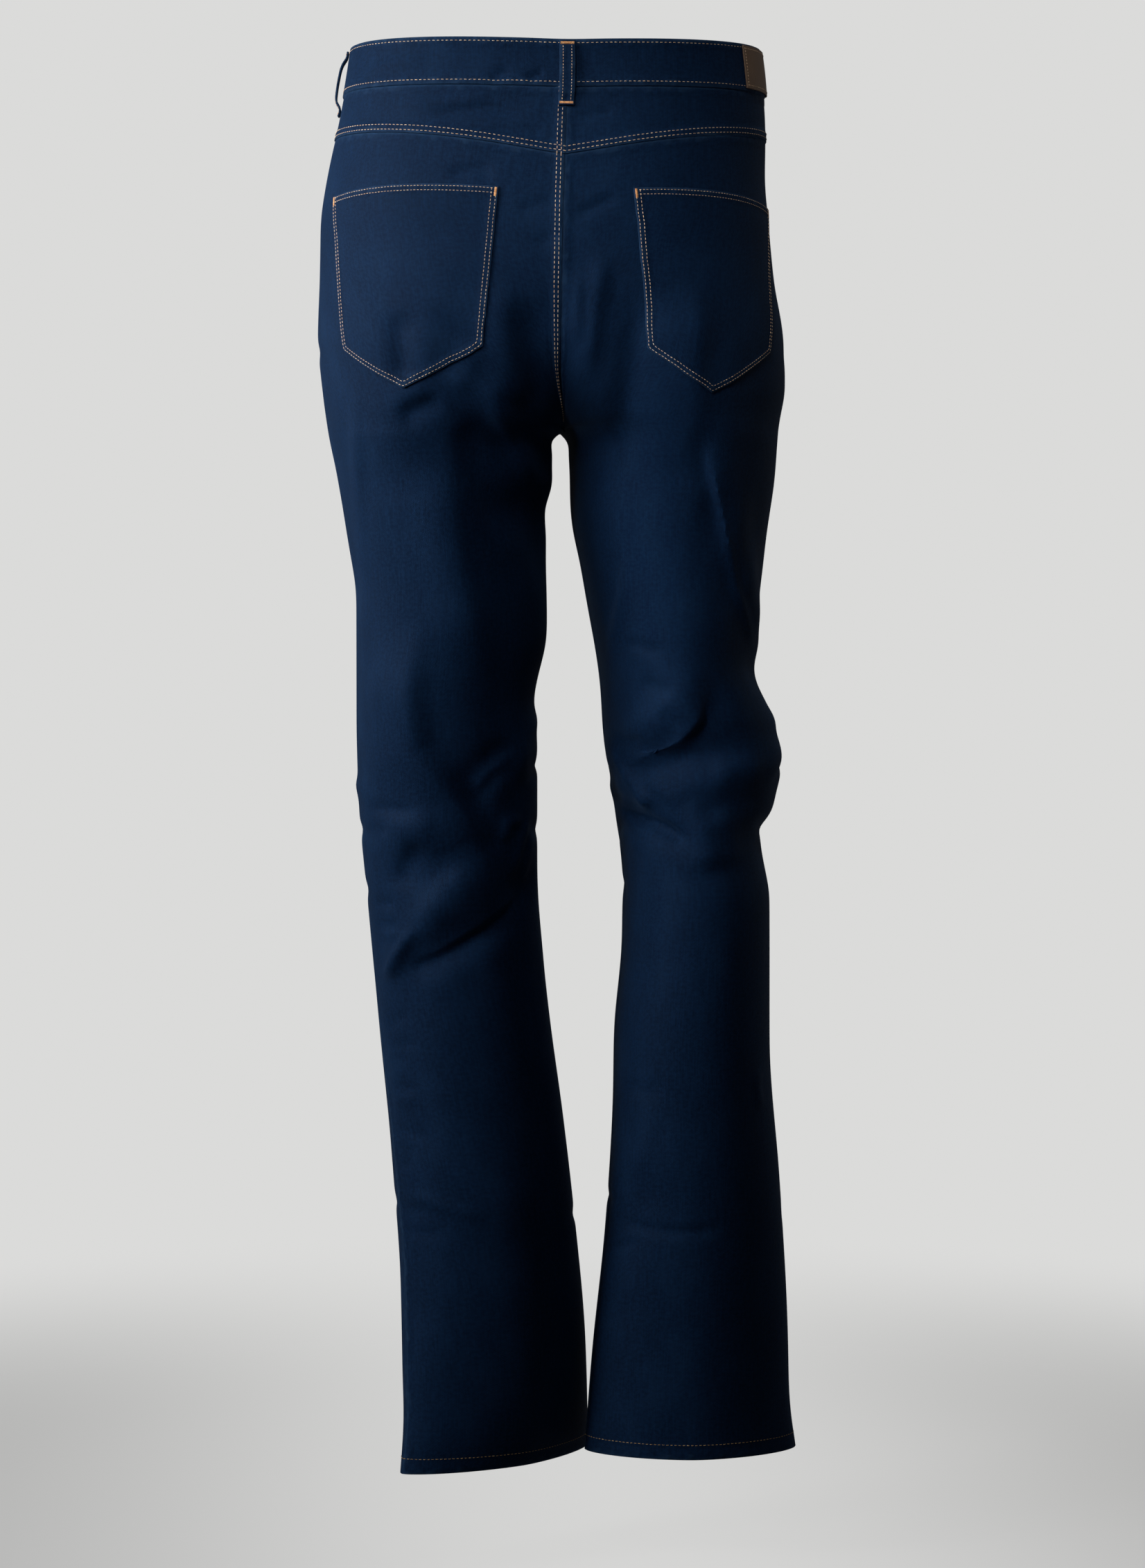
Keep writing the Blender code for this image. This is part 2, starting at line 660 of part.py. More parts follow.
def add_belt_loop(loop, material):
    """A strip over the waistband, sewn at its top edge and below it."""
    facing = 1 if loop.angle > 0 else -1
    share = abs(loop.angle) / 90
    middle = band_middle(facing, share)
    top = middle + BAND_HEIGHT / 2 - LOOP_TOP_INSET
    bottom = middle - BAND_HEIGHT / 2 - LOOP_TAIL
    flush = BAND_STAND + 2 * SEAM_GAP
    stand = flush + loop.stand
    # Height and distance off the cloth of the strip's inner face, from its top down.
    profile = [
        (top, flush),
        (top - 3.5, flush),
        (top - 8, flush + 0.55 * loop.stand),
        (middle, stand),
        (middle - BAND_HEIGHT / 2 + 2, stand),
        (middle - BAND_HEIGHT / 2 - 4, flush + 0.6 * loop.stand),
        (bottom + 5, 2.2 * SEAM_GAP),
        (bottom, 2.2 * SEAM_GAP),
    ]
    angle = np.array(math.radians(loop.angle))
    inner, outer = [], []
    for z, distance in profile:
        height = np.array(float(z))
        point = smooth_surface(loop.side, angle, height)
        if abs(loop.angle) == 90:
            point[0] = smooth(CENTRE_LINE, "x", height)
        normal = normal_of(smooth_surface, loop.side, angle, height) * [1, 1, 0]
        normal = unit(normal)
        along = np.array([-normal[1], normal[0], 0])
        widths = np.array([-0.5, 0, 0.5])[:, None] * LOOP_WIDTH * along
        inner.append(point + distance * normal + widths)
        outer.append(point + (distance + LOOP_CLOTH) * normal + widths)
    return add_wall(loop.name, np.array(outer), np.array(inner), material)


def add_leather_patch(band_grid, material):
    """The bare leather patch on the right of the waistband, over its own curve."""
    planes = []
    for degrees, direction in ((PATCH_FROM, -1), (PATCH_TO, 1)):
        angle, z = np.array(math.radians(degrees)), np.array(0.0)
        point = smooth_surface(RIGHT, angle, z)
        ahead = smooth_surface(RIGHT, angle + 0.02, z) - point
        planes.append((point, direction * unit(ahead * [1, 1, 0])))
    centre = float(band_middle(1, 0.3))
    planes.append(((0, 0, centre + PATCH_HEIGHT / 2), (0, 0, 1)))
    planes.append(((0, 0, centre - PATCH_HEIGHT / 2), (0, 0, -1)))
    right_back = band_grid[:, 2 * BAND_COLUMNS : 3 * BAND_COLUMNS + 2]
    return cut_patch("leather_patch", right_back, planes, SEAM_GAP, PATCH_LEATHER, material)


def add_fly_shield(material):
    """The strip of cloth behind the centre front, between the front panels and the body."""
    top = float(band_bottom(-1)(np.array(1.0))) - 3
    outer, inner = [], []
    for z in np.linspace(top, SHIELD_BOTTOM, 7):
        row_outer, row_inner = [], []
        for x in np.linspace(SHIELD_LEFT, SHIELD_RIGHT, 6):
            side = LEFT if x >= smooth(CENTRE_LINE, "x", z) else RIGHT
            reach = max(side * x, float(centre_cut(side, z)))
            point, normal = point_at_x(side, -1, reach, z)
            point[0] = x
            depth = CLOTH + 3 * SEAM_GAP
            row_outer.append(point - depth * normal)
            row_inner.append(point - (depth + CLOTH) * normal)
        outer.append(row_outer)
        inner.append(row_inner)
    return add_wall("fly_shield", np.array(outer), np.array(inner), material)


def add_button(material):
    """A turned metal button on the left end of the waistband, at the centre front."""
    share = np.array(1 - 1 / BAND_COLUMNS)
    z = np.array(float(band_middle(-1, share)))
    angle = -share * last_angle(LEFT, z)
    out = normal_of(smooth_surface, LEFT, angle, z)
    across = unit(np.cross((0.0, 0.0, 1.0), out))
    up = np.cross(out, across)
    start = smooth_surface(LEFT, angle, z) + (BAND_STAND + 2 * SEAM_GAP) * out
    points, faces = [], []
    for radius, height in BUTTON_PROFILE:
        for step in range(BUTTON_SIDES if radius else 1):
            turn = 2 * math.pi * step / BUTTON_SIDES
            ray = math.cos(turn) * across + math.sin(turn) * up
            points.append(start + height * out + radius * ray)
    last = len(points) - 1
    outermost = 1 + (len(BUTTON_PROFILE) - 3) * BUTTON_SIDES
    for step in range(BUTTON_SIDES):
        after = (step + 1) % BUTTON_SIDES
        faces.append([0, 1 + step, 1 + after])
        for low in range(1, outermost, BUTTON_SIDES):
            high = low + BUTTON_SIDES
            faces.append([low + step, high + step, high + after, low + after])
        faces.append([outermost + step, last, outermost + after])
    return add_object("waist_button", mesh_from("waist_button", points, faces), material)


for old in list(bpy.data.objects):
    bpy.data.objects.remove(old, do_unlink=True)

denim = colour_of("denim", DENIM, 0.62)
dark_denim = colour_of("denim_dark", DENIM_DARK, 0.66)
leather = colour_of("leather", LEATHER, 0.6)
brass = colour_of("brass", BRASS, 0.38, 0.9)

for side, word in ((LEFT, "left"), (RIGHT, "right")):
    back_grid = add_panel(f"back_panel_{word}", side, 1, yoke_seam, COLUMNS, denim)
    add_panel(f"front_panel_{word}", side, -1, band_bottom(-1), FRONT_COLUMNS, denim)
    add_yoke(f"yoke_{word}", side, denim)
    corners = LEFT_POCKET if side == LEFT else RIGHT_POCKET
    add_pocket(f"back_pocket_{word}", side, corners, back_grid, denim)

band = add_waistband(dark_denim)
add_leather_patch(band, leather)
for loop in LOOPS:
    add_belt_loop(loop, dark_denim)
add_fly_shield(dark_denim)
add_button(brass)
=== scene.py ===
"""Straight-leg dark blue jeans, seen from behind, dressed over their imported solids.

The front faces -Y, the wearer's left is +X and +Z is up. Lengths are in millimetres until
a mesh is made, and a sheet's rows run from its top down and its columns from left to right
as seen from outside.
"""

import math
from collections import namedtuple

import bmesh
import bpy
import numpy as np
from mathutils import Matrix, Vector


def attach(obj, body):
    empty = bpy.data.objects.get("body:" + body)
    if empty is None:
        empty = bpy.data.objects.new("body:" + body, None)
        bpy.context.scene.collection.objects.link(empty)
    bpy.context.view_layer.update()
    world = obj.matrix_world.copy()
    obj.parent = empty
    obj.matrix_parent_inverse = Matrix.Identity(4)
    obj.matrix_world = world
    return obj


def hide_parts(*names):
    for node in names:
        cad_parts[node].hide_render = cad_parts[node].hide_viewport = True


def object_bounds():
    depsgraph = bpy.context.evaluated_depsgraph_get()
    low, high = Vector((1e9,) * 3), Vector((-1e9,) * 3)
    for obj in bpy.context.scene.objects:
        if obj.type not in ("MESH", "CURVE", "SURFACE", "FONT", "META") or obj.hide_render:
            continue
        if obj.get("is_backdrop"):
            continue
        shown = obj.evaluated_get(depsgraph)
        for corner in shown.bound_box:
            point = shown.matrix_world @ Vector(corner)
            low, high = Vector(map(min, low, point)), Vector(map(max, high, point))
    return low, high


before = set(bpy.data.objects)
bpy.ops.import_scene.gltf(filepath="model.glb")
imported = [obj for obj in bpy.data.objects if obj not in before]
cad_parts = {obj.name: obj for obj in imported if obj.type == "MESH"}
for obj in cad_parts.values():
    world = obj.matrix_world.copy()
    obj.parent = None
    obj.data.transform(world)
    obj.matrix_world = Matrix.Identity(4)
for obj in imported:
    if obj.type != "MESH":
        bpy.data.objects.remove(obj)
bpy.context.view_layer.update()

# ---------------------------------------------------------------- the picture
# A pale studio: a plain floor that fades into the backdrop, soft lights from the wearer's
# left that graze the cloth, weaker ones on the hips and the right leg, and a rim of light
# from the right.

MM = 0.001
CAMERA_DISTANCE = 3.0
CAMERA_YAW = math.radians(4.5)
CAMERA_AIM = Vector((-0.012, 0.0, -0.531))
CAMERA_HEIGHT = -0.385
MM_PER_PIXEL = 0.52
PHOTO_HEIGHT = 2263
SENSOR = 36.0

lens = bpy.data.cameras.new("camera")
lens.sensor_width = SENSOR
lens.lens = SENSOR * CAMERA_DISTANCE / (PHOTO_HEIGHT * MM_PER_PIXEL * MM)
camera = bpy.data.objects.new("camera", lens)
camera.location = (
    CAMERA_AIM.x + CAMERA_DISTANCE * math.sin(CAMERA_YAW),
    CAMERA_DISTANCE * math.cos(CAMERA_YAW),
    CAMERA_HEIGHT,
)
camera.rotation_euler = (CAMERA_AIM - camera.location).to_track_quat("-Z", "Y").to_euler()
bpy.context.scene.collection.objects.link(camera)
bpy.context.scene.camera = camera
bpy.context.scene.view_settings.view_transform = "Standard"


# Each lamp's place, target, width and height in metres, its power in watts, and the angle
# of its beam in degrees.
Lamp = namedtuple("Lamp", "place target width height watts spread")
LAMPS = {
    "side": Lamp((1.18, -0.135, 0.0), (0, 0, -0.3), 0.3, 0.3, 0.75, 60),
    "key": Lamp((1.84, 0.70, 0.35), (0, 0, -0.55), 0.4, 0.8, 4.0, 110),
    "legs": Lamp((1.72, 1.015, -0.35), (0, 0, -0.95), 0.4, 0.6, 0.85, 50),
    "right_leg": Lamp((0.46, 0.85, 0.0), (-0.16, 0, -0.34), 0.1, 0.5, 0.09, 20),
    "hips_side": Lamp((1.17, 0.325, 0.58), (0, 0, -0.12), 0.4, 0.4, 0.9, 60),
    "hips": Lamp((1.13, 0.67, 0.33), (-0.05, 0, -0.2), 0.4, 0.4, 0.7, 60),
    "hips_fill": Lamp((0.26, 1.11, 0.865), (-0.04, 0, -0.1), 0.5, 0.5, 0.6, 60),
    "rim": Lamp((-2.11, -0.47, -0.02), (0, 0, -0.4), 0.6, 1.4, 1.6, 180),
}
RIM_TINT = (1.0, 0.82, 0.66)

for name, lamp in LAMPS.items():
    light = bpy.data.lights.new(name, "AREA")
    light.shape = "RECTANGLE"
    light.size, light.size_y = lamp.width, lamp.height
    light.energy = lamp.watts
    light.spread = math.radians(lamp.spread)
    fitting = bpy.data.objects.new(name, light)
    fitting.location = lamp.place
    aim = Vector(lamp.target) - Vector(lamp.place)
    fitting.rotation_euler = aim.to_track_quat("-Z", "Y").to_euler()
    bpy.context.scene.collection.objects.link(fitting)
bpy.data.lights["rim"].color = RIM_TINT


def connect(tree, made, inputs):
    """Gives a node's sockets their values or their links."""
    for name, value in inputs.items():
        socket = made.inputs[name]
        if isinstance(value, Amount):
            value = value.socket
        if isinstance(value, bpy.types.NodeSocket):
            tree.links.new(value, socket)
        else:
            socket.default_value = value


def node(tree, kind, inputs=None, **settings):
    """A new node: its settings first, then its sockets."""
    made = tree.nodes.new(kind)
    for name, value in settings.items():
        setattr(made, name, value)
    connect(tree, made, inputs or {})
    return made


def output(tree, kind, inputs=None, key=0, **settings):
    """An output of a new node: its first one, unless a key is given."""
    return node(tree, kind, inputs, **settings).outputs[key]


class Amount:
    """A number that varies over a surface, with its sums written as plain expressions."""

    def __init__(self, tree, socket):
        self.tree, self.socket = tree, socket

    def math(self, operation, other=0.0, flipped=False):
        inputs = {0: other, 1: self} if flipped else {0: self, 1: other}
        made = output(self.tree, "ShaderNodeMath", inputs, operation=operation)
        return Amount(self.tree, made)

    def __add__(self, other):
        return self.math("ADD", other)

    def __sub__(self, other):
        return self.math("SUBTRACT", other)

    def __rsub__(self, other):
        return self.math("SUBTRACT", other, flipped=True)

    def __mul__(self, other):
        return self.math("MULTIPLY", other)

    __radd__, __rmul__ = __add__, __mul__

    def rising(self, start, end):
        """0 up to start and 1 from end, with level ends."""
        inputs = {"Value": self, "From Min": start, "From Max": end}
        made = output(self.tree, "ShaderNodeMapRange", inputs, interpolation_type="SMOOTHSTEP")
        return Amount(self.tree, made)


def new_material(name):
    material = bpy.data.materials.new(name)
    material.use_nodes = True
    tree = material.node_tree
    return material, tree, tree.nodes["Principled BSDF"]


def mixed(tree, share, first, second):
    """A colour between two others."""
    made = node(tree, "ShaderNodeMix", {"Factor": share}, data_type="RGBA", blend_type="MIX")
    for index, colour in ((6, first), (7, second)):
        colour = colour if isinstance(colour, bpy.types.NodeSocket) else (*colour, 1)
        connect(tree, made, {index: colour})
    return made.outputs[2]


def blotches(tree, scale, detail):
    """Noise fixed to the piece, with so many patches to a metre."""
    place = output(tree, "ShaderNodeTexCoord", key="Object")
    inputs = {"Vector": place, "Scale": scale, "Detail": detail}
    return Amount(tree, output(tree, "ShaderNodeTexNoise", inputs))


PALE = (0.708, 0.708, 0.70)
AMBIENT = 0.022
WALL_GLOW = 0.14  # the studio's walls, as the cloth's sheen shows them
FLOOR_HEIGHT = -1.115
FLOOR_RADIUS = 1.5
FLOOR_GLOW = 0.9
FLOOR_DIFFUSE = 0.12
FLOOR_MIDDLE = -0.05
FLOOR_SHADE = 0.3  # how much darker the floor is at the picture's sides
FLOOR_SHADE_REACH = 0.6

world = bpy.data.worlds.new("studio")
bpy.context.scene.world = world
world.use_nodes = True
tree = world.node_tree
rays = node(tree, "ShaderNodeLightPath").outputs
dim = Amount(tree, rays["Is Glossy Ray"]) * (WALL_GLOW - AMBIENT) + AMBIENT
ambient = output(tree, "ShaderNodeBackground", {"Color": (1, 1, 1, 1), "Strength": dim})
backdrop = output(tree, "ShaderNodeBackground", {"Color": (*PALE, 1), "Strength": 1.0})
both = output(tree, "ShaderNodeMixShader", {0: rays["Is Camera Ray"], 1: ambient, 2: backdrop})
connect(tree, tree.nodes["World Output"], {"Surface": both})

floor_material, tree, surface = new_material("pale_floor")
place = output(tree, "ShaderNodeTexCoord", key="Object")
far = output(tree, "ShaderNodeVectorMath", {0: place}, key="Value", operation="LENGTH")
across = output(tree, "ShaderNodeSeparateXYZ", {"Vector": place}, key="X")
# Painted shade: the floor glows in place of being lit, and its glow is painted darker towards the
# picture's sides.
shade = (Amount(tree, across) - FLOOR_MIDDLE).math("ABSOLUTE").rising(0.0, FLOOR_SHADE_REACH)
connect(
    tree,
    surface,
    {
        "Base Color": (*[FLOOR_DIFFUSE * part for part in PALE], 1),
        "Roughness": 0.95,
        "Specular IOR Level": 0.0,
        "Emission Color": mixed(tree, shade * FLOOR_SHADE, PALE, (0, 0, 0)),
        "Emission Strength": FLOOR_GLOW,
        "Alpha": 1 - Amount(tree, far).rising(0.4 * FLOOR_RADIUS, FLOOR_RADIUS),
    },
)
shape = bmesh.new()
bmesh.ops.create_circle(shape, cap_ends=True, segments=96, radius=FLOOR_RADIUS)
floor_mesh = bpy.data.meshes.new("floor")
shape.to_mesh(floor_mesh)
shape.free()
floor_mesh.materials.append(floor_material)
floor = bpy.data.objects.new("floor", floor_mesh)
floor.location = (0, 0, FLOOR_HEIGHT)
bpy.context.scene.collection.objects.link(floor)
floor.visible_diffuse = floor.visible_glossy = False
floor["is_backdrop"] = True

# ------------------------------------------------------------- the leg panels
# Two back and two front panels of dark indigo stretch twill, felled together down the
# outseam, seam allowances inside, and turned up twice at the hems.

CLOTH = 1.4
HEM_CLOTH = 2.6
HEM_HEIGHT = 12.0
PANEL_CELL = 2.6
FELL_WIDTH = 8.0
FELL_LIFT = 0.7
FELL_SLOPE = 2.0
SHARP_EDGE = math.radians(42)

Sheet = namedtuple("Sheet", "points normals")


def outer_face(node_name):
    """A packed wall's outer face: its points, each one's neighbours, and its border."""
    shape = bmesh.new()
    shape.from_mesh(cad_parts[node_name].data)
    bmesh.ops.remove_doubles(shape, verts=shape.verts, dist=1e-6)
    shape.normal_update()
    unseen, parts = set(shape.faces), []
    for start in shape.faces:
        if start not in unseen:
            continue
        unseen.discard(start)
        part, waiting = [], [start]
        while waiting:
            face = waiting.pop()
            part.append(face)
            for edge in face.edges:
                if edge.calc_face_angle(0.0) < SHARP_EDGE:
                    found = [other for other in edge.link_faces if other in unseen]
                    unseen.difference_update(found)
                    waiting.extend(found)
        parts.append(part)

    def flow_out(part):
        """Large for the face that looks away from the middle of the waist."""
        return sum(
            face.calc_area() * face.normal.xy.dot(face.calc_center_median().xy) for face in part
        )

    face_set = set(max(parts, key=flow_out))
    shape.verts.index_update()
    places = {vert.index: np.array(vert.co) / MM for vert in shape.verts}
    edges = {edge for face in face_set for edge in face.edges}
    neighbours, border = {}, {}
    for edge in edges:
        here, there = (vert.index for vert in edge.verts)
        neighbours.setdefault(here, set()).add(there)
        neighbours.setdefault(there, set()).add(here)
        if len(face_set.intersection(edge.link_faces)) == 1:
            border.setdefault(here, []).append(there)
            border.setdefault(there, []).append(here)
    shape.free()
    loop = [min(border)]
    loop.append(min(border[loop[0]]))
    while len(loop) < len(border):
        before, here = loop[-2:]
        loop.append(next(index for index in border[here] if index != before))
    return places, neighbours, loop


def turns(line):
    """How sharply a closed line of points turns at each of them."""
    ahead = np.roll(line, -1, axis=0) - line
    ahead /= np.linalg.norm(ahead, axis=1, keepdims=True)
    behind = np.roll(ahead, 1, axis=0)
    return np.arccos(np.clip((ahead * behind).sum(axis=1), -1, 1))


def packed_grid(node_name):
    """The rows and columns of points of a packed wall's outer face."""
    places, neighbours, loop = outer_face(node_name)
    half = (len(loop) + 4) / 2
    long_side = round((half + math.sqrt(half**2 - 4 * len(neighbours))) / 2)
    short_side = round(half) - long_side
    turning = turns(np.array([places[index] for index in loop]))
    best = None
    for first, second in ((long_side, short_side), (short_side, long_side)):
        for start in range(len(loop)):
            corners = start + np.cumsum([0, first - 1, second - 1, first - 1])
            sharpness = turning[corners % len(loop)].sum()
            if best is None or sharpness > best[0]:
                best = (sharpness, start, first, second)
    _, start, columns, rows = best
    loop = loop[start:] + loop[:start]
    grid = [loop[:columns]]
    left_side = [loop[0]] + loop[::-1][: rows - 1]
    for row in range(1, rows):
        used = set(grid[-1]) | (set(grid[-2]) if row > 1 else set())
        line = [left_side[row]]
        for column in range(1, columns):
            found = neighbours[grid[-1][column]] & neighbours[line[-1]]
            line.append(next(iter(found - used - set(line))))
        grid.append(line)
    points = np.array([[places[index] for index in line] for line in grid])
    fall = [abs(np.diff(points[..., 2], axis=axis)).sum() for axis in (0, 1)]
    if fall[1] > fall[0]:
        points = points.transpose(1, 0, 2)
    if points[0, :, 2].mean() < points[-1, :, 2].mean():
        points = points[::-1]
    if (outward(points)[..., :2] * points[..., :2]).sum() < 0:
        points = points[:, ::-1]
    return points


def outward(points):
    """The outward direction at each point of a grid."""
    normals = np.cross(np.gradient(points, axis=0), np.gradient(points, axis=1))
    return normals / np.linalg.norm(normals, axis=-1, keepdims=True)


def spline(knots, values, at):
    """Points of the smooth curves that pass through each row of values at its knot."""
    gaps = np.diff(knots)
    slopes = np.diff(values, axis=0) / gaps[:, None]
    system, right = np.eye(len(knots)), np.zeros_like(values)
    for i in range(1, len(knots) - 1):
        system[i, i - 1 : i + 2] = gaps[i - 1], 2 * (gaps[i - 1] + gaps[i]), gaps[i]
        right[i] = 6 * (slopes[i] - slopes[i - 1])
    bend = np.linalg.solve(system, right)
    i = np.clip(np.searchsorted(knots, at) - 1, 0, len(knots) - 2)
    before = ((knots[i + 1] - at) / gaps[i])[:, None]
    after = 1 - before
    curve = (before**3 - before) * bend[i] + (after**3 - after) * bend[i + 1]
    return before * values[i] + after * values[i + 1] + curve * gaps[i][:, None] ** 2 / 6


def refined(grid, cell):
    """The same smooth surface with its points about a cell apart."""
    for axis in (0, 1):
        lines = np.moveaxis(grid, axis, 0)
        steps = np.linalg.norm(np.diff(lines, axis=0), axis=-1).mean(axis=1)
        knots = np.concatenate([[0], np.cumsum(steps)])
        count = max(3, round(knots[-1] / cell) + 1)
        fine = spline(knots, lines.reshape(len(lines), -1), np.linspace(0, knots[-1], count))
        grid = np.moveaxis(fine.reshape(count, *lines.shape[1:]), 0, axis)
    return grid


# The finer creases, a table for each side that they are seen from. Each is a line across the
# cloth, by how far it is to the wearer's left (or to the back, seen from a side) and its
# height. Seen going along it, it has a width on its left and on its right, and it stands out
# or sinks in by its lift. The columns are: left, right, lift, *line.
BACK_CREASES = [
    # The seat.
    (26, 12, 5.0, (30, -279), (39, -243), (47, -212), (53, -158)),
    (15, 14, -5.5, (18, -271), (25, -221), (30, -172)),
    (8, 12, -4.0, (120, -244), (121, -216), (123, -182)),
    (6, 8, -3.6, (124, -263), (110, -256), (90, -248)),
    (12, 8, 2.6, (83, -248), (65, -207)),
    (7, 5, 2.2, (-4, -214), (-5, -155)),
    (9, 7, 3.4, (-12, -240), (-17, -187), (-24, -140)),
    (30, 11, 5.0, (-93, -305), (-88, -221), (-91, -161)),
    (12, 12, -4.0, (-36, -319), (-40, -260), (-46, -211), (-50, -162)),
    (3.5, 4, -1.8, (90, -89), (70, -85), (52, -82)),
    (3, 3, -1.3, (66, -92), (54, -89)),
    (4, 4, -1.5, (109, -47), (59, -40), (25, -44)),
    (4, 4, 1.3, (128, -35), (89, -35), (50, -33)),
    (3, 3, -1.3, (60, -55), (35, -58), (13, -57)),
    (4, 4, -1.4, (-5, -47), (-35, -41)),
    (4, 4, -1.6, (59, -23), (40, -11)),
    (3, 3, -1.8, (31, -20), (16, -14)),
    (4, 4, 1.2, (147, -14), (128, -5), (98, -5)),
    (4, 4, -1.5, (39, -115), (5, -106)),
    (4, 4, -1.4, (29, -139), (6, -134)),
    (4, 4, -1.6, (-2, -119), (-36, -104)),
    # The thighs.
    (5, 5, 2.6, (148, -467), (149, -384), (151, -308), (153, -230)),
    (28, 13, 4.5, (63, -455), (80, -365), (89, -310), (90, -266)),
    (11, 14, -6.5, (39, -359), (58, -310), (69, -280), (70, -256)),
    (9, 10, 6.0, (20, -319), (37, -284), (51, -258), (61, -234)),
    (3.2, 3.2, 2.4, (-148, -440), (-135, -405), (-125, -384), (-115, -339), (-100, -285),
     (-92, -255)),
    (10, 5, -3.4, (-114, -359), (-101, -300), (-93, -255)),
    (3.5, 4, 2.2, (-35, -462), (-37, -425), (-44, -389), (-46, -354)),
    (3, 3, 1.3, (-36, -434), (-31, -405), (-23, -381)),
    (5, 5, -1.8, (-45, -422), (-73, -433)),
    (6, 6, -2.0, (-55, -452), (-79, -463)),
    # Behind the right knee.
    (15, 6, 9.5, (-46, -516), (-72, -506), (-88, -495), (-96, -480), (-100, -453)),
    (14, 16, -4.0, (-56, -522), (-78, -517), (-102, -510), (-121, -499), (-130, -477)),
    (12, 12, 3.0, (-105, -518), (-128, -516), (-154, -516)),
    (24, 12, 3.5, (-122, -595), (-120, -566), (-114, -543)),
    (5, 5, -1.8, (-69, -474), (-86, -484)),
    (4, 5, -1.4, (-41, -494), (-50, -497), (-61, -495)),
    (3.5, 3.5, 2.4, (-67, -548), (-50, -524), (-37, -499)),
    (9, 4, 1.8, (-61, -523), (-74, -534), (-89, -547)),
    (4, 5.5, -5.0, (-46, -552), (-65, -556), (-79, -562), (-95, -572)),
    (6, 5, 3.4, (-45, -542), (-68, -544)),
    (15, 9, 3.0, (-112, -597), (-101, -563), (-90, -537)),
    (3, 3, 1.5, (-59, -584), (-47, -559)),
    # Behind the left knee.
    (26, 11, 8.0, (56, -601), (65, -565), (88, -533), (109, -503), (114, -461), (109, -405)),
    (11, 9, -2.6, (46, -583), (61, -552), (74, -526)),
    (7, 4, 2.6, (69, -537), (55, -518), (34, -506)),
    (6, 4, -1.4, (62, -516), (51, -505), (36, -497)),
    (5, 3.5, 3.0, (44, -573), (40, -558), (28, -552)),
    (3, 3, 2.0, (39, -601), (29, -570), (20, -549)),
    (3, 3, 1.4, (32, -611), (23, -583), (19, -562)),
    (4, 5, -1.8, (145, -547), (133, -546), (105, -547)),
    (3.5, 4, -1.4, (142, -560), (128, -565)),
    (8, 12, 1.8, (134, -559), (92, -557)),
    (8, 10, -3.6, (121, -609), (115, -588), (102, -568)),
    (3.5, 5, 4.0, (132, -678), (121, -652), (109, -631)),
    (9, 12, 3.0, (110, -635), (88, -606), (61, -586)),
    (12, 3.0, 4.4, (116, -662), (88, -648), (62, -631), (46, -619), (25, -604)),
    (3, 3, -1.0, (108, -667), (99, -655)),
    (4, 4, -1.5, (139, -618), (122, -617)),
    (4, 4, -1.5, (138, -634), (119, -634)),
    (4, 4, -1.5, (137, -647), (116, -645)),
    # The lower legs.
    (4, 4, -1.0, (131, -711), (112, -697)),
    (4, 4, -1.0, (129, -726), (106, -719)),
    (4, 4, -0.8, (127, -736), (112, -731)),
    (4, 4, -1.1, (126, -754), (106, -755)),
    (4, 4, 0.9, (125, -769), (106, -759)),
    (4, 4, -0.9, (124, -787), (97, -790)),
    (4, 4, -0.9, (122, -800), (106, -803)),
    (4, 4, -0.9, (121, -815), (108, -807)),
    (5, 5, 1.4, (122, -833), (102, -837), (78, -844), (51, -850)),
    (4, 4, -0.9, (122, -846), (97, -846)),
    (4, 4, -0.9, (120, -864), (85, -861)),
    (4, 5, -1.8, (-41, -854), (-58, -860), (-81, -862), (-105, -861), (-124, -858)),
    (3, 3.5, -1.5, (-36, -880), (-46, -877), (-60, -870)),
    (6, 6, -1.5, (-48, -753), (-64, -758), (-76, -750)),
    (6, 7, 1.0, (-60, -825), (-62, -792), (-67, -763)),
    (4, 4, 1.5, (-150, -775), (-146, -755), (-148, -739)),
    (3, 3, 1.0, (8, -721), (12, -670), (14, -619), (19, -565)),
]
FRONT_CREASES = [
    # Both sides of the crotch and the hips.
    (6, 5, -1.8, (-16, -246), (-62, -222), (-108, -214)),
    (6, 5, -1.7, (18, -248), (58, -226), (104, -212)),
    (7, 6, -2.2, (-22, -268), (-66, -262), (-118, -250)),
    (7, 6, -2.0, (24, -270), (74, -266), (112, -258)),
    (7, 7, -1.6, (-30, -296), (-60, -306), (-92, -300)),
    (7, 7, -1.8, (32, -300), (66, -312), (100, -304)),
    (5, 5, -1.0, (-72, -190), (-104, -176)),
    (5, 5, -1.0, (70, -186), (110, -170)),
    # The thighs.
    (18, 14, 2.4, (-96, -470), (-92, -400), (-84, -320)),
    (14, 18, 2.4, (90, -480), (94, -400), (86, -330)),
    (8, 8, -1.4, (-52, -450), (-44, -380)),
    (8, 8, -1.2, (50, -440), (46, -372)),
    # The knees.
    (6, 8, 1.8, (-140, -540), (-104, -528), (-66, -534)),
    (5, 7, -1.8, (-132, -566), (-92, -556), (-52, -566)),
    (6, 6, -1.5, (-126, -596), (-88, -604), (-56, -592)),
    (5, 6, -1.2, (-112, -640), (-78, -628)),
    (7, 6, 1.8, (30, -556), (72, -544), (116, -554)),
    (5, 7, -2.0, (26, -586), (70, -574), (120, -588)),
    (6, 6, -1.5, (40, -616), (84, -624), (122, -612)),
    (5, 6, -1.2, (52, -662), (96, -650)),
    # The shins.
    (5, 5, -1.3, (-140, -842), (-96, -852), (-62, -846)),
    (5, 5, -1.3, (60, -838), (98, -846), (130, -838)),
    (4, 5, -1.0, (-134, -892), (-100, -898)),
    (4, 5, -1.0, (78, -888), (118, -884)),
]
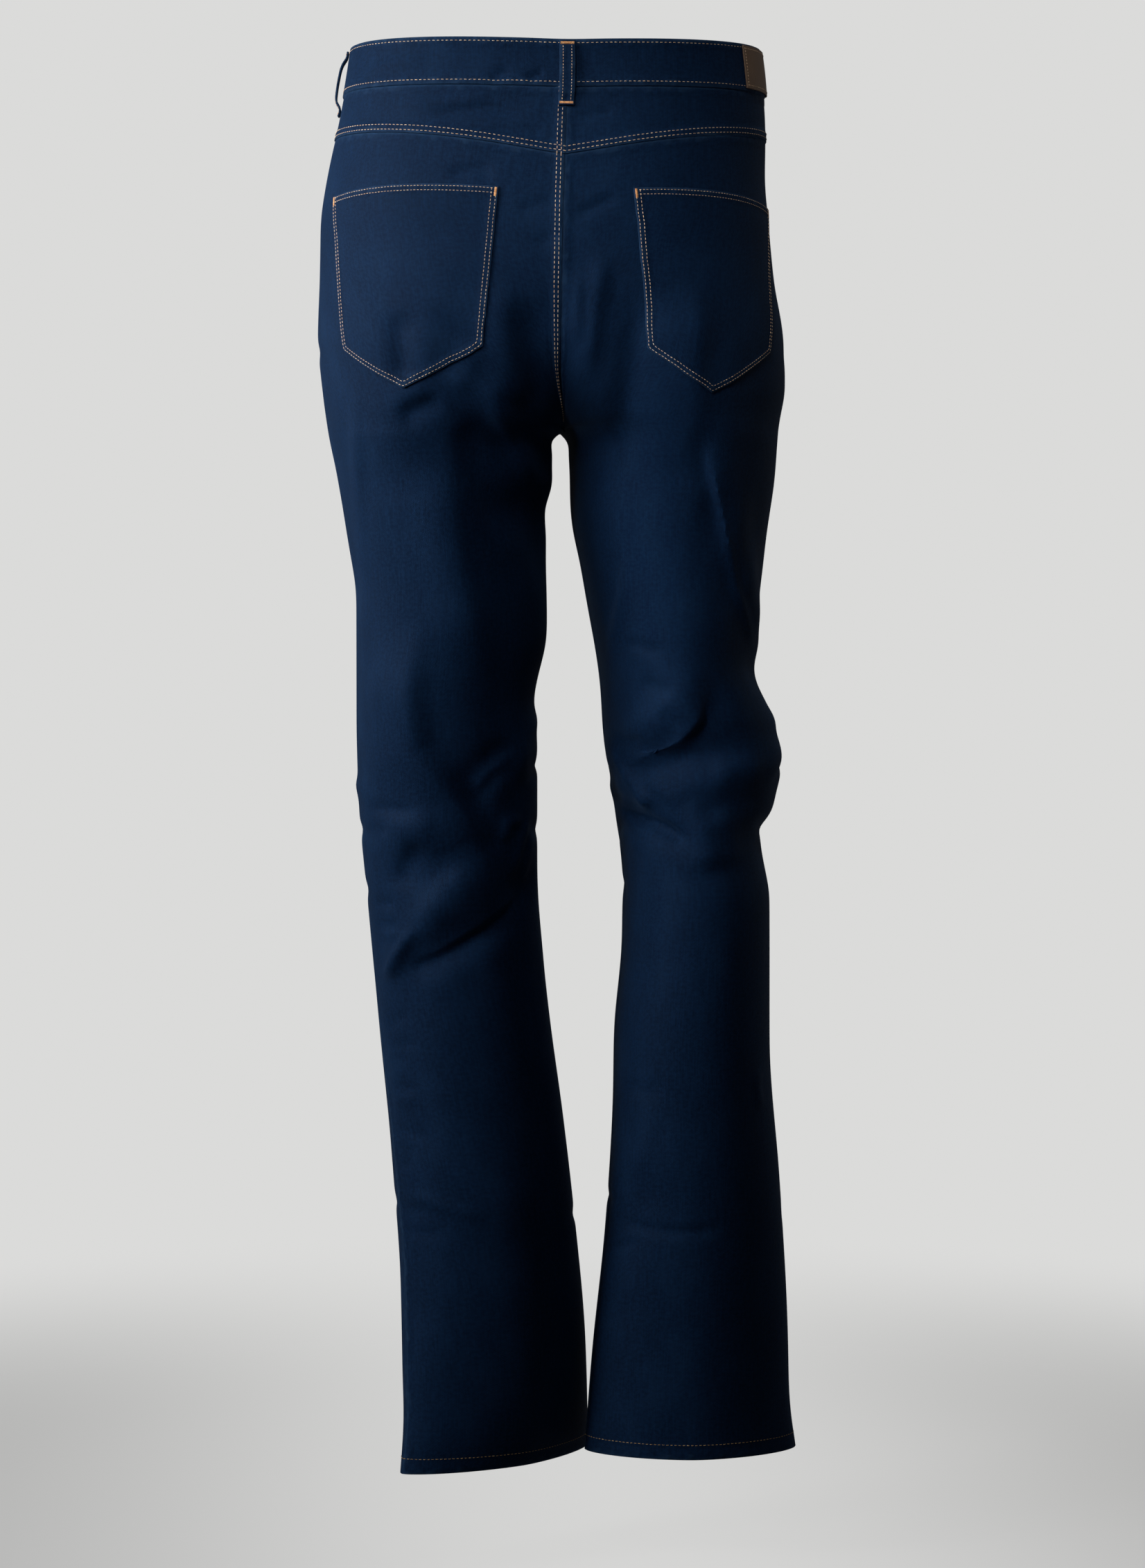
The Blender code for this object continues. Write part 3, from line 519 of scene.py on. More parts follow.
LEFT_CREASES = [
    (6, 6, -1.2, (-52, -214), (-8, -206), (34, -214)),
    (6, 8, 1.6, (-44, -540), (0, -530), (40, -540)),
    (5, 6, -1.6, (-40, -572), (2, -562), (46, -574)),
    (6, 6, -1.3, (-36, -606), (8, -612)),
    (5, 5, -1.2, (-30, -838), (16, -846)),
]
RIGHT_CREASES = [
    (6, 6, -1.2, (-30, -212), (10, -204), (50, -216)),
    (7, 8, 1.6, (-50, -492), (0, -482), (44, -490)),
    (5, 7, -2.0, (-52, -524), (-4, -516), (42, -528)),
    (6, 6, -1.5, (-44, -560), (4, -566), (46, -556)),
    (5, 5, -1.2, (-40, -862), (12, -854)),
]
# For each side: its creases, the axis across it and its sign to the right, and the axis
# towards the eye and its sign.
FACES = (
    (BACK_CREASES, 0, -1, 1, 1),
    (FRONT_CREASES, 0, 1, 1, -1),
    (LEFT_CREASES, 1, 1, 0, 1),
    (RIGHT_CREASES, 1, -1, 0, -1),
)
FACING = (0.12, 0.57)  # a crease fades out where the cloth turns away from its side
CREASE_ENDS = 0.3  # the share of a crease's length over which each end fades


def eased(share):
    """0 at 0 and 1 at 1, level at both."""
    share = np.clip(share, 0, 1)
    return share * share * (3 - 2 * share)


def crease_lift(points, normals):
    """How far the creases move each point of the cloth out."""
    lift = np.zeros(points.shape[:-1])
    for creases, across, to_right, deep, to_eye in FACES:
        place = points[..., [across, 2]] * (to_right, 1)
        facing = eased((to_eye * normals[..., deep] - FACING[0]) / (FACING[1] - FACING[0]))
        for left, right, rise, *line in creases:
            line = np.array(line, float) * (to_right, 1)
            length = np.linalg.norm(np.diff(line, axis=0), axis=1)
            nearest, side, share = np.full((3, *lift.shape), 1e9)
            reached = 0.0
            for here, step, size in zip(line, np.diff(line, axis=0), length):
                along = np.clip((place - here) @ step / size**2, 0, 1)
                away = place - here - along[..., None] * step
                distance = np.linalg.norm(away, axis=-1)
                closer = distance < nearest
                nearest = np.where(closer, distance, nearest)
                side = np.where(closer, step[0] * away[..., 1] - step[1] * away[..., 0], side)
                share = np.where(closer, (reached + along * size) / length.sum(), share)
                reached += size
            width = np.where(side > 0, left, right)
            ends = eased(np.minimum(share, 1 - share) / CREASE_ENDS)
            lift += rise * facing * ends * np.exp(-((nearest / width) ** 2))
    return lift


def creased(points):
    """A sheet on a grid of points, with the finer creases in it."""
    normals = outward(points)
    points = points + crease_lift(points, normals)[..., None] * normals
    return Sheet(points, outward(points))


def raised(sheet, edge, width, lift):
    """A sheet with the doubled cloth of a seam standing out along one of its edges."""
    rise = lift * np.clip((width - from_edge(sheet.points, edge)) / FELL_SLOPE, 0, 1)
    points = sheet.points + rise[..., None] * sheet.normals
    return Sheet(points, outward(points))


def distances(points, axis):
    """How far along each point lies on its line of the grid, from the line's start."""
    steps = np.linalg.norm(np.diff(points, axis=axis), axis=-1)
    start = np.zeros_like(np.take(steps, [0], axis=axis))
    return np.concatenate([start, np.cumsum(steps, axis=axis)], axis=axis)


def from_edge(points, edge):
    """How far each point of a grid lies from its top, bottom, left or right edge."""
    axis = 0 if edge in "tb" else 1
    if edge in "tl":
        return distances(points, axis)
    return np.flip(distances(np.flip(points, axis), axis), axis)


def add_cloth(name, sheet, thickness, material, sewn="tblr", rounding=0.0):
    """A closed wall of cloth behind a sheet. It keeps each point's place in the cloth, and
    its distance from the sheet's sewn edges: top, bottom, left and right."""
    rows, columns = sheet.points.shape[:2]
    inner = sheet.points - np.broadcast_to(thickness, (rows, columns))[..., None] * sheet.normals
    size = rows * columns
    number = np.arange(size).reshape(rows, columns)
    cells = np.stack(
        [number[:-1, :-1], number[1:, :-1], number[1:, 1:], number[:-1, 1:]], axis=-1
    ).reshape(-1, 4)
    border = np.concatenate(
        [number[0, :-1], number[:-1, -1], number[-1, :0:-1], number[:0:-1, 0]]
    )
    after = np.roll(border, -1)
    flat_outer, flat_inner = sheet.points.reshape(-1, 3), inner.reshape(-1, 3)
    # The rim bulges from the middle of the wall's edge.
    inside = np.clip(np.stack([border // columns, border % columns]), 1, [[rows - 2], [columns - 2]])
    out = flat_outer[border] - flat_outer[inside[0] * columns + inside[1]]
    out /= np.linalg.norm(out, axis=1, keepdims=True)
    rim = (flat_outer[border] + flat_inner[border]) / 2 + rounding * out
    rim_number = 2 * size + np.arange(len(border))
    rim_after = np.roll(rim_number, -1)
    faces = np.concatenate(
        [
            cells,
            cells[:, ::-1] + size,
            np.stack([border, after, rim_after, rim_number], axis=1),
            np.stack([rim_number, rim_after, after + size, border + size], axis=1),
        ]
    )
    points = np.concatenate([flat_outer, flat_inner, rim]) * MM
    mesh = bpy.data.meshes.new(name)
    mesh.from_pydata(points.tolist(), [], faces.tolist())
    across, down = from_edge(sheet.points, "l"), from_edge(sheet.points, "t")
    middle = across[:, [columns // 2]]
    place = np.stack([across - middle, -np.broadcast_to(down.mean(axis=1), (columns, rows)).T])
    place = place.reshape(2, -1).T * MM
    place = np.concatenate([place, place, place[border]])
    cloth = mesh.uv_layers.new(name="cloth")
    corners = faces.reshape(-1)
    cloth.data.foreach_set("uv", place[corners].astype(np.float32).reshape(-1))
    seam = np.full((rows, columns), 1e3)
    for edge in sewn:
        seam = np.minimum(seam, from_edge(sheet.points, edge))
    seam = np.concatenate([seam.reshape(-1), seam.reshape(-1), 0 * border])
    mesh.attributes.new("seam", "FLOAT", "POINT").data.foreach_set("value", seam.astype(np.float32))
    mesh.materials.append(material)
    mesh.shade_smooth()
    mesh.set_sharp_from_angle(angle=SHARP_EDGE)
    mesh.validate()
    piece = bpy.data.objects.new(name, mesh)
    bpy.context.scene.collection.objects.link(piece)
    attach(piece, "root")
    return piece


# Sewing: each row of thread is a line of points on the cloth, and one set of geometry nodes
# lays a stitch along it every few millimetres.
Thread = namedtuple("Thread", "material pitch length width turn")
STITCH_SIDES = 5
STITCH_STEPS = 4
STITCH_SWING = 0.07  # how far a stitch may turn either way, in radians


def sampled(values, places):
    """A grid's values at rows and columns with fractions."""
    limit = np.array(values.shape[:2]) - 1
    held = np.clip(places, 0, limit)
    start = np.minimum(np.floor(held).astype(int), limit - 1)
    part = held - start
    row, column = start[..., 0], start[..., 1]
    down, right = part[..., [0]], part[..., [1]]
    top = values[row, column] * (1 - right) + values[row, column + 1] * right
    low = values[row + 1, column] * (1 - right) + values[row + 1, column + 1] * right
    return top * (1 - down) + low * down


def evenly(line, count):
    """A line of points with count points evenly along it."""
    along = distances(line, 0)
    targets = np.linspace(0, along[-1], count)
    return np.stack([np.interp(targets, along, column) for column in line.T], axis=1)


def inset_places(sheet, edge, inset):
    """The rows and columns of a line inset from one edge of a sheet."""
    away = from_edge(sheet.points, edge)
    lines = away.T if edge in "tb" else away
    places = []
    for step, values in enumerate(lines):
        order = np.argsort(values)
        found = np.interp(inset, values[order], order)
        places.append((found, step) if edge in "tb" else (step, found))
    return np.array(places, float)


def sewn_row(sheet, places, start=0.0, end=0.0):
    """The line through places on a sheet, short of both its ends: points and normals."""
    along = distances(sampled(sheet.points, places), 0)
    count = max(2, round(along[-1] - start - end))
    targets = np.linspace(start, along[-1] - end, count)
    places = np.stack([np.interp(targets, along, column) for column in places.T], axis=1)
    return Sheet(sampled(sheet.points, places), sampled(sheet.normals, places))


def edge_row(sheet, edge, inset, start=0.0, end=0.0):
    return sewn_row(sheet, inset_places(sheet, edge, inset), start, end)


STITCH_INPUTS = {
    "Lines": "Geometry",
    "Pitch": "Float",
    "Length": "Float",
    "Width": "Float",
    "Turn": "Float",
    "Seed": "Int",
    "Material": "Material",
}


def stitch_nodes():
    """Geometry nodes that lay a stitch at each pitch along every line of a mesh."""
    tree = bpy.data.node_groups.new("stitches", "GeometryNodeTree")
    sockets = {}
    for name, kind in STITCH_INPUTS.items():
        kind = "NodeSocket" + kind
        sockets[name] = tree.interface.new_socket(name, in_out="INPUT", socket_type=kind)
    tree.interface.new_socket("Geometry", in_out="OUTPUT", socket_type="NodeSocketGeometry")
    given = node(tree, "NodeGroupInput").outputs
    line = output(tree, "GeometryNodeMeshToCurve", {"Mesh": given["Lines"]})
    inputs = {"Curve": line, "Length": given["Pitch"]}
    line = output(tree, "GeometryNodeResampleCurve", inputs, mode="LENGTH")
    length, width = Amount(tree, given["Length"]), Amount(tree, given["Width"])
    ends = [
        output(tree, "ShaderNodeCombineXYZ", {"X": length * side, "Z": width * -0.5})
        for side in (-0.5, 0.5)
    ]
    top = output(tree, "ShaderNodeCombineXYZ", {"Z": width * 1.1})
    inputs = {"Resolution": STITCH_STEPS, "Start": ends[0], "Middle": top, "End": ends[1]}
    arc = output(tree, "GeometryNodeCurveQuadraticBezier", inputs)
    inputs = {"Resolution": STITCH_SIDES, "Radius": width * 0.5}
    ring = output(tree, "GeometryNodeCurvePrimitiveCircle", inputs)
    inputs = {"Curve": arc, "Profile Curve": ring, "Fill Caps": True}
    stitch = output(tree, "GeometryNodeCurveToMesh", inputs)
    inputs = {"Name": "outward"}
    out = output(tree, "GeometryNodeInputNamedAttribute", inputs, data_type="FLOAT_VECTOR")
    inputs = {"Primary Axis": out, "Secondary Axis": output(tree, "GeometryNodeInputTangent")}
    axes = {"primary_axis": "Z", "secondary_axis": "X"}
    facing = output(tree, "FunctionNodeAxesToRotation", inputs, **axes)
    inputs = {2: -STITCH_SWING, 3: STITCH_SWING, "Seed": given["Seed"]}
    uneven = output(tree, "FunctionNodeRandomValue", inputs, key=1, data_type="FLOAT")
    turn = Amount(tree, given["Turn"]) + Amount(tree, uneven)
    turn = output(tree, "ShaderNodeCombineXYZ", {"Z": turn})
    turn = output(tree, "FunctionNodeEulerToRotation", {"Euler": turn})
    inputs = {"Rotation": facing, "Rotate By": turn}
    facing = output(tree, "FunctionNodeRotateRotation", inputs, rotation_space="LOCAL")
    inputs = {"Points": line, "Instance": stitch, "Rotation": facing}
    laid = output(tree, "GeometryNodeInstanceOnPoints", inputs)
    real = output(tree, "GeometryNodeRealizeInstances", {"Geometry": laid})
    inputs = {"Geometry": real, "Material": given["Material"]}
    coloured = output(tree, "GeometryNodeSetMaterial", inputs)
    node(tree, "NodeGroupOutput", {"Geometry": coloured})
    return tree, {name: socket.identifier for name, socket in sockets.items()}


STITCHES, STITCH_SOCKETS = stitch_nodes()


def sew(name, rows, thread, seed=1):
    """Lays stitches of a thread along rows of points on the cloth."""
    points = np.concatenate([row.points for row in rows])
    normals = np.concatenate([row.normals for row in rows])
    ends = np.cumsum([len(row.points) for row in rows])
    edges = [(i, i + 1) for i in range(len(points) - 1) if i + 1 not in ends]
    lines = bpy.data.meshes.new(name + "_lines")
    lines.from_pydata((points * MM).tolist(), edges, [])
    out = lines.attributes.new("outward", "FLOAT_VECTOR", "POINT")
    out.data.foreach_set("vector", normals.astype(np.float32).reshape(-1))
    piece = bpy.data.objects.new(name, lines)
    bpy.context.scene.collection.objects.link(piece)
    modifier = piece.modifiers.new("stitches", "NODES")
    modifier.node_group = STITCHES
    values = {
        "Pitch": thread.pitch * MM,
        "Length": thread.length * MM,
        "Width": thread.width * MM,
        "Turn": thread.turn,
        "Seed": seed,
        "Material": thread.material,
    }
    for key, value in values.items():
        modifier[STITCH_SOCKETS[key]] = value
    graph = bpy.context.evaluated_depsgraph_get()
    mesh = bpy.data.meshes.new_from_object(piece.evaluated_get(graph))
    piece.modifiers.clear()
    piece.data = mesh
    bpy.data.meshes.remove(lines)
    mesh.shade_smooth()
    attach(piece, "root")
    return piece


def thread_material(name, light, dark):
    """Spun polyester thread, a little uneven in colour."""
    material, tree, surface = new_material(name)
    colour = mixed(tree, blotches(tree, 700.0, 1.0).rising(0.35, 0.65), dark, light)
    finish = {"Base Color": colour, "Roughness": 0.45, "Specular IOR Level": 0.3}
    connect(tree, surface, finish)
    return material


tan_thread = thread_material("tan_thread", (0.95, 0.72, 0.5), (0.72, 0.46, 0.27))
orange_thread = thread_material("orange_thread", (0.95, 0.52, 0.22), (0.7, 0.3, 0.1))
hem_thread = thread_material("hem_thread", (0.5, 0.33, 0.16), (0.3, 0.18, 0.08))
ACROSS = math.pi / 2
TOPSTITCH = Thread(tan_thread, 3.4, 2.0, 0.44, 0.0)
FINE_STITCH = Thread(tan_thread, 2.7, 1.6, 0.42, 0.0)
LOOP_STITCH = Thread(tan_thread, 2.2, 1.3, 0.4, 0.0)
HEM_STITCH = Thread(hem_thread, 3.1, 2.0, 0.52, 0.0)
BARTACK = Thread(orange_thread, 0.5, 1.9, 0.5, ACROSS)


# Denim, by its yarns: a steep twill line, uneven warp yarns, and lighter rubbed edges.
TWILL_SPACING = 1.1 * MM
TWILL_SLOPE = 0.55
INDIGO_DEEP = (0.0021, 0.0078, 0.024)
INDIGO = (0.0062, 0.0240, 0.068)
INDIGO_WORN = (0.018, 0.046, 0.1)


def denim(name):
    material, tree, surface = new_material(name)
    cloth = output(tree, "ShaderNodeUVMap", uv_map="cloth")
    place = node(tree, "ShaderNodeSeparateXYZ", {"Vector": cloth})
    across, along = (Amount(tree, place.outputs[axis]) for axis in "XY")
    seam = Amount(tree, output(tree, "ShaderNodeAttribute", key="Fac", attribute_name="seam"))

    def noise(across_scale, along_scale, detail, offset):
        """Noise with so many patches to a metre across and along the cloth."""
        inputs = {"X": across * across_scale, "Y": along * along_scale, "Z": offset}
        where = output(tree, "ShaderNodeCombineXYZ", inputs)
        inputs = {"Vector": where, "Scale": 1.0, "Detail": detail, "Roughness": 0.55}
        return Amount(tree, output(tree, "ShaderNodeTexNoise", inputs))

    slub = noise(900, 45, 2.0, 0.0)
    yarn = noise(2600, 900, 1.0, 3.0)
    grain = noise(330, 420, 2.0, 5.0)
    cloudy = noise(26, 15, 3.0, 7.0)
    bent = (across + along * TWILL_SLOPE) * (2 * math.pi / TWILL_SPACING) + 4 * yarn
    twill = bent.math("SINE") * 0.5 + 0.5
    near = 1 - seam.rising(0.3, 2.6)
    pucker = noise(120, 120, 1.0, 11.0) * (1 - seam.rising(3.0, 9.0))
    pale = slub.rising(0.3, 0.8) * 0.34 + grain.rising(0.32, 0.68) * 0.36
    pale = pale + twill * 0.2 + cloudy.rising(0.35, 0.7) * 0.2
    colour = mixed(tree, pale, INDIGO_DEEP, INDIGO)
    rubbed = near * 0.4 + pucker.rising(0.42, 0.7) * 0.34 + cloudy.rising(0.5, 0.8) * 0.1
    colour = mixed(tree, rubbed, colour, INDIGO_WORN)
    height = twill * 0.09 + slub * 0.14 + grain * 0.12 + pucker * 1.4 + seam.rising(0.0, 1.6) * 0.5
    height = height * MM
    inputs = {"Height": height, "Strength": 0.8, "Distance": 1.0}
    finish = {
        "Base Color": colour,
        "Roughness": 0.62 + slub * 0.14 - twill * 0.06,
        "Normal": output(tree, "ShaderNodeBump", inputs),
        "Specular IOR Level": 0.05,
        "Specular Tint": (0.7, 0.85, 1.0, 1),
        "Sheen Weight": 0.08,
        "Sheen Roughness": 0.4,
        "Sheen Tint": (0.25, 0.52, 1.0, 1),
    }
    connect(tree, surface, finish)
    return material


leg_denim = denim("leg_denim")

PANEL_CUTS = {
    "back_panel_left": (0.300, 1.010, 0.2297),
    "back_panel_right": (0.300, 1.005, 0.2291),
    "front_panel_left": (0.290, 1.050, 0.2354),
    "front_panel_right": (0.290, 1.045, 0.2341),
}
SEAM_ROWS = (2.2, 5.3)
HEM_ROW = 11.2
CROTCH_HEIGHT = -262.0
FLY_WIDTH, FLY_LENGTH, FLY_TURN = 34.0, 128.0, 30.0


def within(row, low, high):
    """The part of a row between two heights."""
    kept = (row.points[:, 2] >= low) & (row.points[:, 2] <= high)
    return Sheet(row.points[kept], row.normals[kept])


def place_at(sheet, across, down):
    """The row and column at a distance from a sheet's left edge and from its top."""
    row = column = 0.0
    from_left, from_top = from_edge(sheet.points, "l"), from_edge(sheet.points, "t")
    for _ in range(3):
        row = np.interp(down, from_top[:, round(column)], np.arange(len(from_top)))
        column = np.interp(across, from_left[round(row)], np.arange(from_left.shape[1]))
    return row, column


panels, plain_panels = {}, {}
for node_name, (width, length, area) in PANEL_CUTS.items():
    plain_panels[node_name] = refined(packed_grid(node_name), PANEL_CELL)
    sheet = creased(plain_panels[node_name])
    thickness = np.where(from_edge(sheet.points, "b") < HEM_HEIGHT, HEM_CLOTH, CLOTH)
    if node_name == "back_panel_left":
        above = sheet.points[:, -1, 2] > CROTCH_HEIGHT
        lapped = raised(sheet, "r", FELL_WIDTH, FELL_LIFT)
        points = np.where(above[:, None, None], lapped.points, sheet.points)
        sheet = Sheet(points, outward(points))
    piece = add_cloth(node_name + "_cloth", sheet, thickness, leg_denim, "tblr", 0.1)
    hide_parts(node_name)
    above_it = "waistband" if "front" in node_name else "yoke" + node_name[len("back_panel"):]
    panels[node_name] = sheet

hem_rows = [edge_row(sheet, "b", HEM_ROW, 1.0, 1.0) for sheet in panels.values()]
sew("hem_stitches", hem_rows, HEM_STITCH)
seam_rows = [
    within(edge_row(panels["back_panel_left"], "r", inset, 1.0), CROTCH_HEIGHT, 0)
    for inset in SEAM_ROWS
]
fly = panels["front_panel_left"]
fly_rows = [within(edge_row(fly, "l", SEAM_ROWS[0], 1.0), CROTCH_HEIGHT, 0)]
for inset in (0.0, SEAM_ROWS[1] - SEAM_ROWS[0]):
    bend = np.linspace(0, ACROSS, 12)
    width, turn = FLY_WIDTH - inset, FLY_TURN - inset
    down = [1.0, *(FLY_LENGTH - FLY_TURN + turn * np.sin(bend))]
    across = [width, *(width - turn + turn * np.cos(bend))]
    places = np.array([place_at(fly, *pair) for pair in zip(across, down)])
    fly_rows.append(sewn_row(fly, places))
sew("centre_seam_stitches", seam_rows + fly_rows, TOPSTITCH, 2)

# ------------------------------------------------------------------ the yokes
# Two shaped pieces across the top of the seat, felled to the back panels with two rows of
# topstitching, and joined at the centre back.

YOKE_CELL = 2.2

YOKE_CUTS = {"yoke_left": (0.215, 0.052, 0.0086), "yoke_right": (0.210, 0.052, 0.00836)}
YOKE_ROWS = (2.0, 5.6)

yokes = {}
for node_name, (width, length, area) in YOKE_CUTS.items():
    sheet = creased(refined(packed_grid(node_name), YOKE_CELL))
    sheet = raised(sheet, "b", FELL_WIDTH, FELL_LIFT)
    if node_name == "yoke_left":
        sheet = raised(sheet, "r", FELL_WIDTH, FELL_LIFT)
    piece = add_cloth(node_name + "_cloth", sheet, CLOTH, leg_denim, "tblr", 0.1)
    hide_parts(node_name)
    yokes[node_name] = sheet

yoke_rows = [edge_row(sheet, "b", inset) for sheet in yokes.values() for inset in YOKE_ROWS]
yoke_rows += [edge_row(yokes["yoke_left"], "r", inset) for inset in SEAM_ROWS]
sew("yoke_stitches", yoke_rows, TOPSTITCH, 3)

# ----------------------------------------------------------- the back pockets
# Two patch pockets, each one piece of the same twill with its edges turned under, laid on
# the back panel and sewn with two rows of thread.

POCKET_CLOTH = 1.2
POCKET_CELL = 2.0
LAYER_GAP = 0.3


def places_on(surface, points):
    """The row and column, with fractions, of the nearest place on a grid to each point."""
    flat = surface.reshape(-1, 3)
    nearest = [int(np.argmin(((flat - point) ** 2).sum(axis=1))) for point in points]
    places = np.stack(np.divmod(nearest, surface.shape[1]), axis=1).astype(float)
    down, right = np.gradient(surface, axis=0), np.gradient(surface, axis=1)
    for _ in range(4):
        away = points - sampled(surface, places)
        ways = np.stack([sampled(down, places), sampled(right, places)], axis=1)
        steps = np.linalg.solve(ways @ ways.transpose(0, 2, 1), ways @ away[..., None])
        places = places + steps[..., 0]
    return places


def outline_of(node_name, corner_count):
    """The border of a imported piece's outer face, and the numbers of its corner points."""
    places, _, loop = outer_face(node_name)
    line = np.array([places[index] for index in loop])
    return line, sorted(np.argsort(turns(line))[-corner_count:])


def laid_on(base, plain, node_name, corner_count, cell, height):
    """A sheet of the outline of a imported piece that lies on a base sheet, moved out from it.
    The outline is placed on the base before its creases, and its top edge runs between its
    two upper corners."""
    line, corners = outline_of(node_name, corner_count)
    upper = sorted(corners, key=lambda index: -line[index][2])[:2]
    on_base = places_on(plain, line)
    # The left upper corner, as seen from outside, comes first and the outline runs down.
    start, other = sorted(upper, key=lambda index: on_base[index][1])
    order = np.roll(np.arange(len(line)), -start)
    if list(order).index(other) < len(order) / 2:
        order = np.concatenate([order[:1], order[:0:-1]])
    stops = sorted(list(order).index(index) for index in corners)
    outline = np.concatenate([on_base[order], on_base[order[:1]]])
    left = outline[: stops[1] + 1]
    bottom = outline[stops[1] : stops[-2] + 1]
    right = outline[stops[-2] : stops[-1] + 1][::-1]
    top = outline[stops[-1] :][::-1]
    real = sampled(base.points, outline)
    size = distances(real, 0)[-1] / 4 / cell
    rows = columns = round(size) + 1
    if corner_count == 4:
        rows = round(distances(sampled(base.points, left), 0)[-1] / cell) + 1
        columns = round(distances(sampled(base.points, top), 0)[-1] / cell) + 1
    left, right = evenly(left, rows)[:, None], evenly(right, rows)[:, None]
    top, bottom = evenly(top, columns)[None], evenly(bottom, columns)[None]
    v = np.linspace(0, 1, rows)[:, None, None]
    u = np.linspace(0, 1, columns)[None, :, None]
    ruled = (1 - v) * top + v * bottom + (1 - u) * left + u * right
    corner_mix = (1 - v) * ((1 - u) * top[:, :1] + u * top[:, -1:])
    corner_mix = corner_mix + v * ((1 - u) * bottom[:, :1] + u * bottom[:, -1:])
    where = ruled - corner_mix
    points = sampled(base.points, where) + height * sampled(base.normals, where)
    return Sheet(points, outward(points))


POCKET_CUTS = {"left": (0.152, 0.170, 0.0172), "right": (0.150, 0.170, 0.01675)}
POCKET_ROWS = (1.3, 4.6)
TACK_LENGTH = 7  # points, a millimetre apart


def pocket_path(sheet, inset):
    """A row down a pocket's left side, round its point and up its right side."""
    left, right, bottom = (inset_places(sheet, edge, inset) for edge in "lrb")
    sides = [
        line[line[:, 0] < np.interp(line[:, 1], bottom[:, 1], bottom[:, 0])]
        for line in (left, right)
    ]
    low = bottom[
        (bottom[:, 1] > np.interp(bottom[:, 0], left[:, 0], left[:, 1]))
        & (bottom[:, 1] < np.interp(bottom[:, 0], right[:, 0], right[:, 1]))
    ]
    return np.concatenate([sides[0], low, sides[1][::-1]])


pocket_rows, tacks = [], []
for word, (width, length, area) in POCKET_CUTS.items():
    base, plain = (found["back_panel_" + word] for found in (panels, plain_panels))
    node_name = "back_pocket_" + word
    sheet = laid_on(base, plain, node_name, 5, POCKET_CELL, LAYER_GAP + POCKET_CLOTH)
    piece = add_cloth(node_name + "_cloth", sheet, POCKET_CLOTH, leg_denim, "tblr", 0.3)
    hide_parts(node_name)
    for inset in POCKET_ROWS:
        pocket_rows.append(sewn_row(sheet, pocket_path(sheet, inset), 2.0, 2.0))
        pocket_rows.append(edge_row(sheet, "t", inset, 2.0, 2.0))
    for edge in "lr":
        side = edge_row(sheet, edge, POCKET_ROWS[0] + 0.4, 0.8)
        tacks.append(Sheet(side.points[:TACK_LENGTH], side.normals[:TACK_LENGTH]))
sew("pocket_stitches", pocket_rows, FINE_STITCH, 4)
sew("pocket_tacks", tacks, BARTACK, 5)

# -------------------------------------------------------------- the waistband
# One strip folded in two lengthwise over the waist's edge, its left end lapped over the
# right one at the centre front.

BAND_CLOTH = 2.4
BAND_CELL = 2.0

band_denim = denim("band_denim")
plain_band = refined(packed_grid("waistband"), BAND_CELL)
band = creased(plain_band)
piece = add_cloth("waistband_cloth", band, BAND_CLOTH, band_denim, "tb", 0.7)
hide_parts("waistband")
band_rows = [edge_row(band, "t", 2.5, 2.0, 2.0), edge_row(band, "b", 3.1, 2.0, 2.0)]
band_rows += [edge_row(band, edge, 2.5, 2.5, 3.1) for edge in "lr"]
sew("waistband_stitches", band_rows, TOPSTITCH, 6)

# ------------------------------------------------------------- the belt loops
# Five narrow strips, folded to hide their edges, sewn over the waistband and tacked at
# both ends.

LOOP_CLOTH = 1.6
LOOP_CELL = 1.2
LOOP_PLACES = ("back", "side_left", "side_right", "front_left", "front_right")
LOOP_ROW = 2.3
LOOP_TACKS = (2.0, 1.6)


def strip_between(node_name, cell):
    """A narrow piece's outer face, ruled between its two long edges."""
    line, corners = outline_of(node_name, 4)
    line = np.roll(line, -corners[0], axis=0)
    stops = [corner - corners[0] for corner in corners] + [len(line)]
    closed = np.concatenate([line, line[:1]])
    sides = [closed[start : end + 1] for start, end in zip(stops, stops[1:])]
    length = [distances(side, 0)[-1] for side in sides]
    long_sides = sides[0::2] if length[0] + length[2] > length[1] + length[3] else sides[1::2]
    count = round(max(length) / cell) + 1
    edges = []
    for side in long_sides:
        side = side if side[0, 2] > side[-1, 2] else side[::-1]
        along = distances(side, 0)
        edges.append(spline(along, side, np.linspace(0, along[-1], count)))
    across = np.linspace(0, 1, round(min(length) / cell) + 1)[None, :, None]
    points = edges[0][:, None] * (1 - across) + edges[1][:, None] * across
    if (outward(points)[..., :2] * points[..., :2]).sum() < 0:
        points = points[:, ::-1]
    return Sheet(points, outward(points))


loop_rows, tacks = [], []
for where in LOOP_PLACES:
    node_name = "belt_loop_" + where
    sheet = strip_between(node_name, LOOP_CELL)
    piece = add_cloth(node_name + "_cloth", sheet, LOOP_CLOTH, band_denim, "lr", 0.4)
    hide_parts(node_name)
    loop_rows += [edge_row(sheet, edge, LOOP_ROW, 2.5, 2.2) for edge in "lr"]
    tacks += [edge_row(sheet, edge, inset, 0.7, 0.7) for edge, inset in zip("tb", LOOP_TACKS)]
sew("belt_loop_stitches", loop_rows, LOOP_STITCH, 7)
sew("belt_loop_tacks", tacks, BARTACK, 8)

# ------------------------------------------------------------- the fly shield
# A strip of twill behind the centre front, under the fastening.

points = refined(packed_grid("fly_shield"), YOKE_CELL)
sheet = Sheet(points, outward(points))
piece = add_cloth("fly_shield_cloth", sheet, CLOTH, band_denim, "tblr", 0.3)
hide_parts("fly_shield")

# ---------------------------------------------------------- the leather patch
# A plain brown leather patch sewn on the right of the waistband.

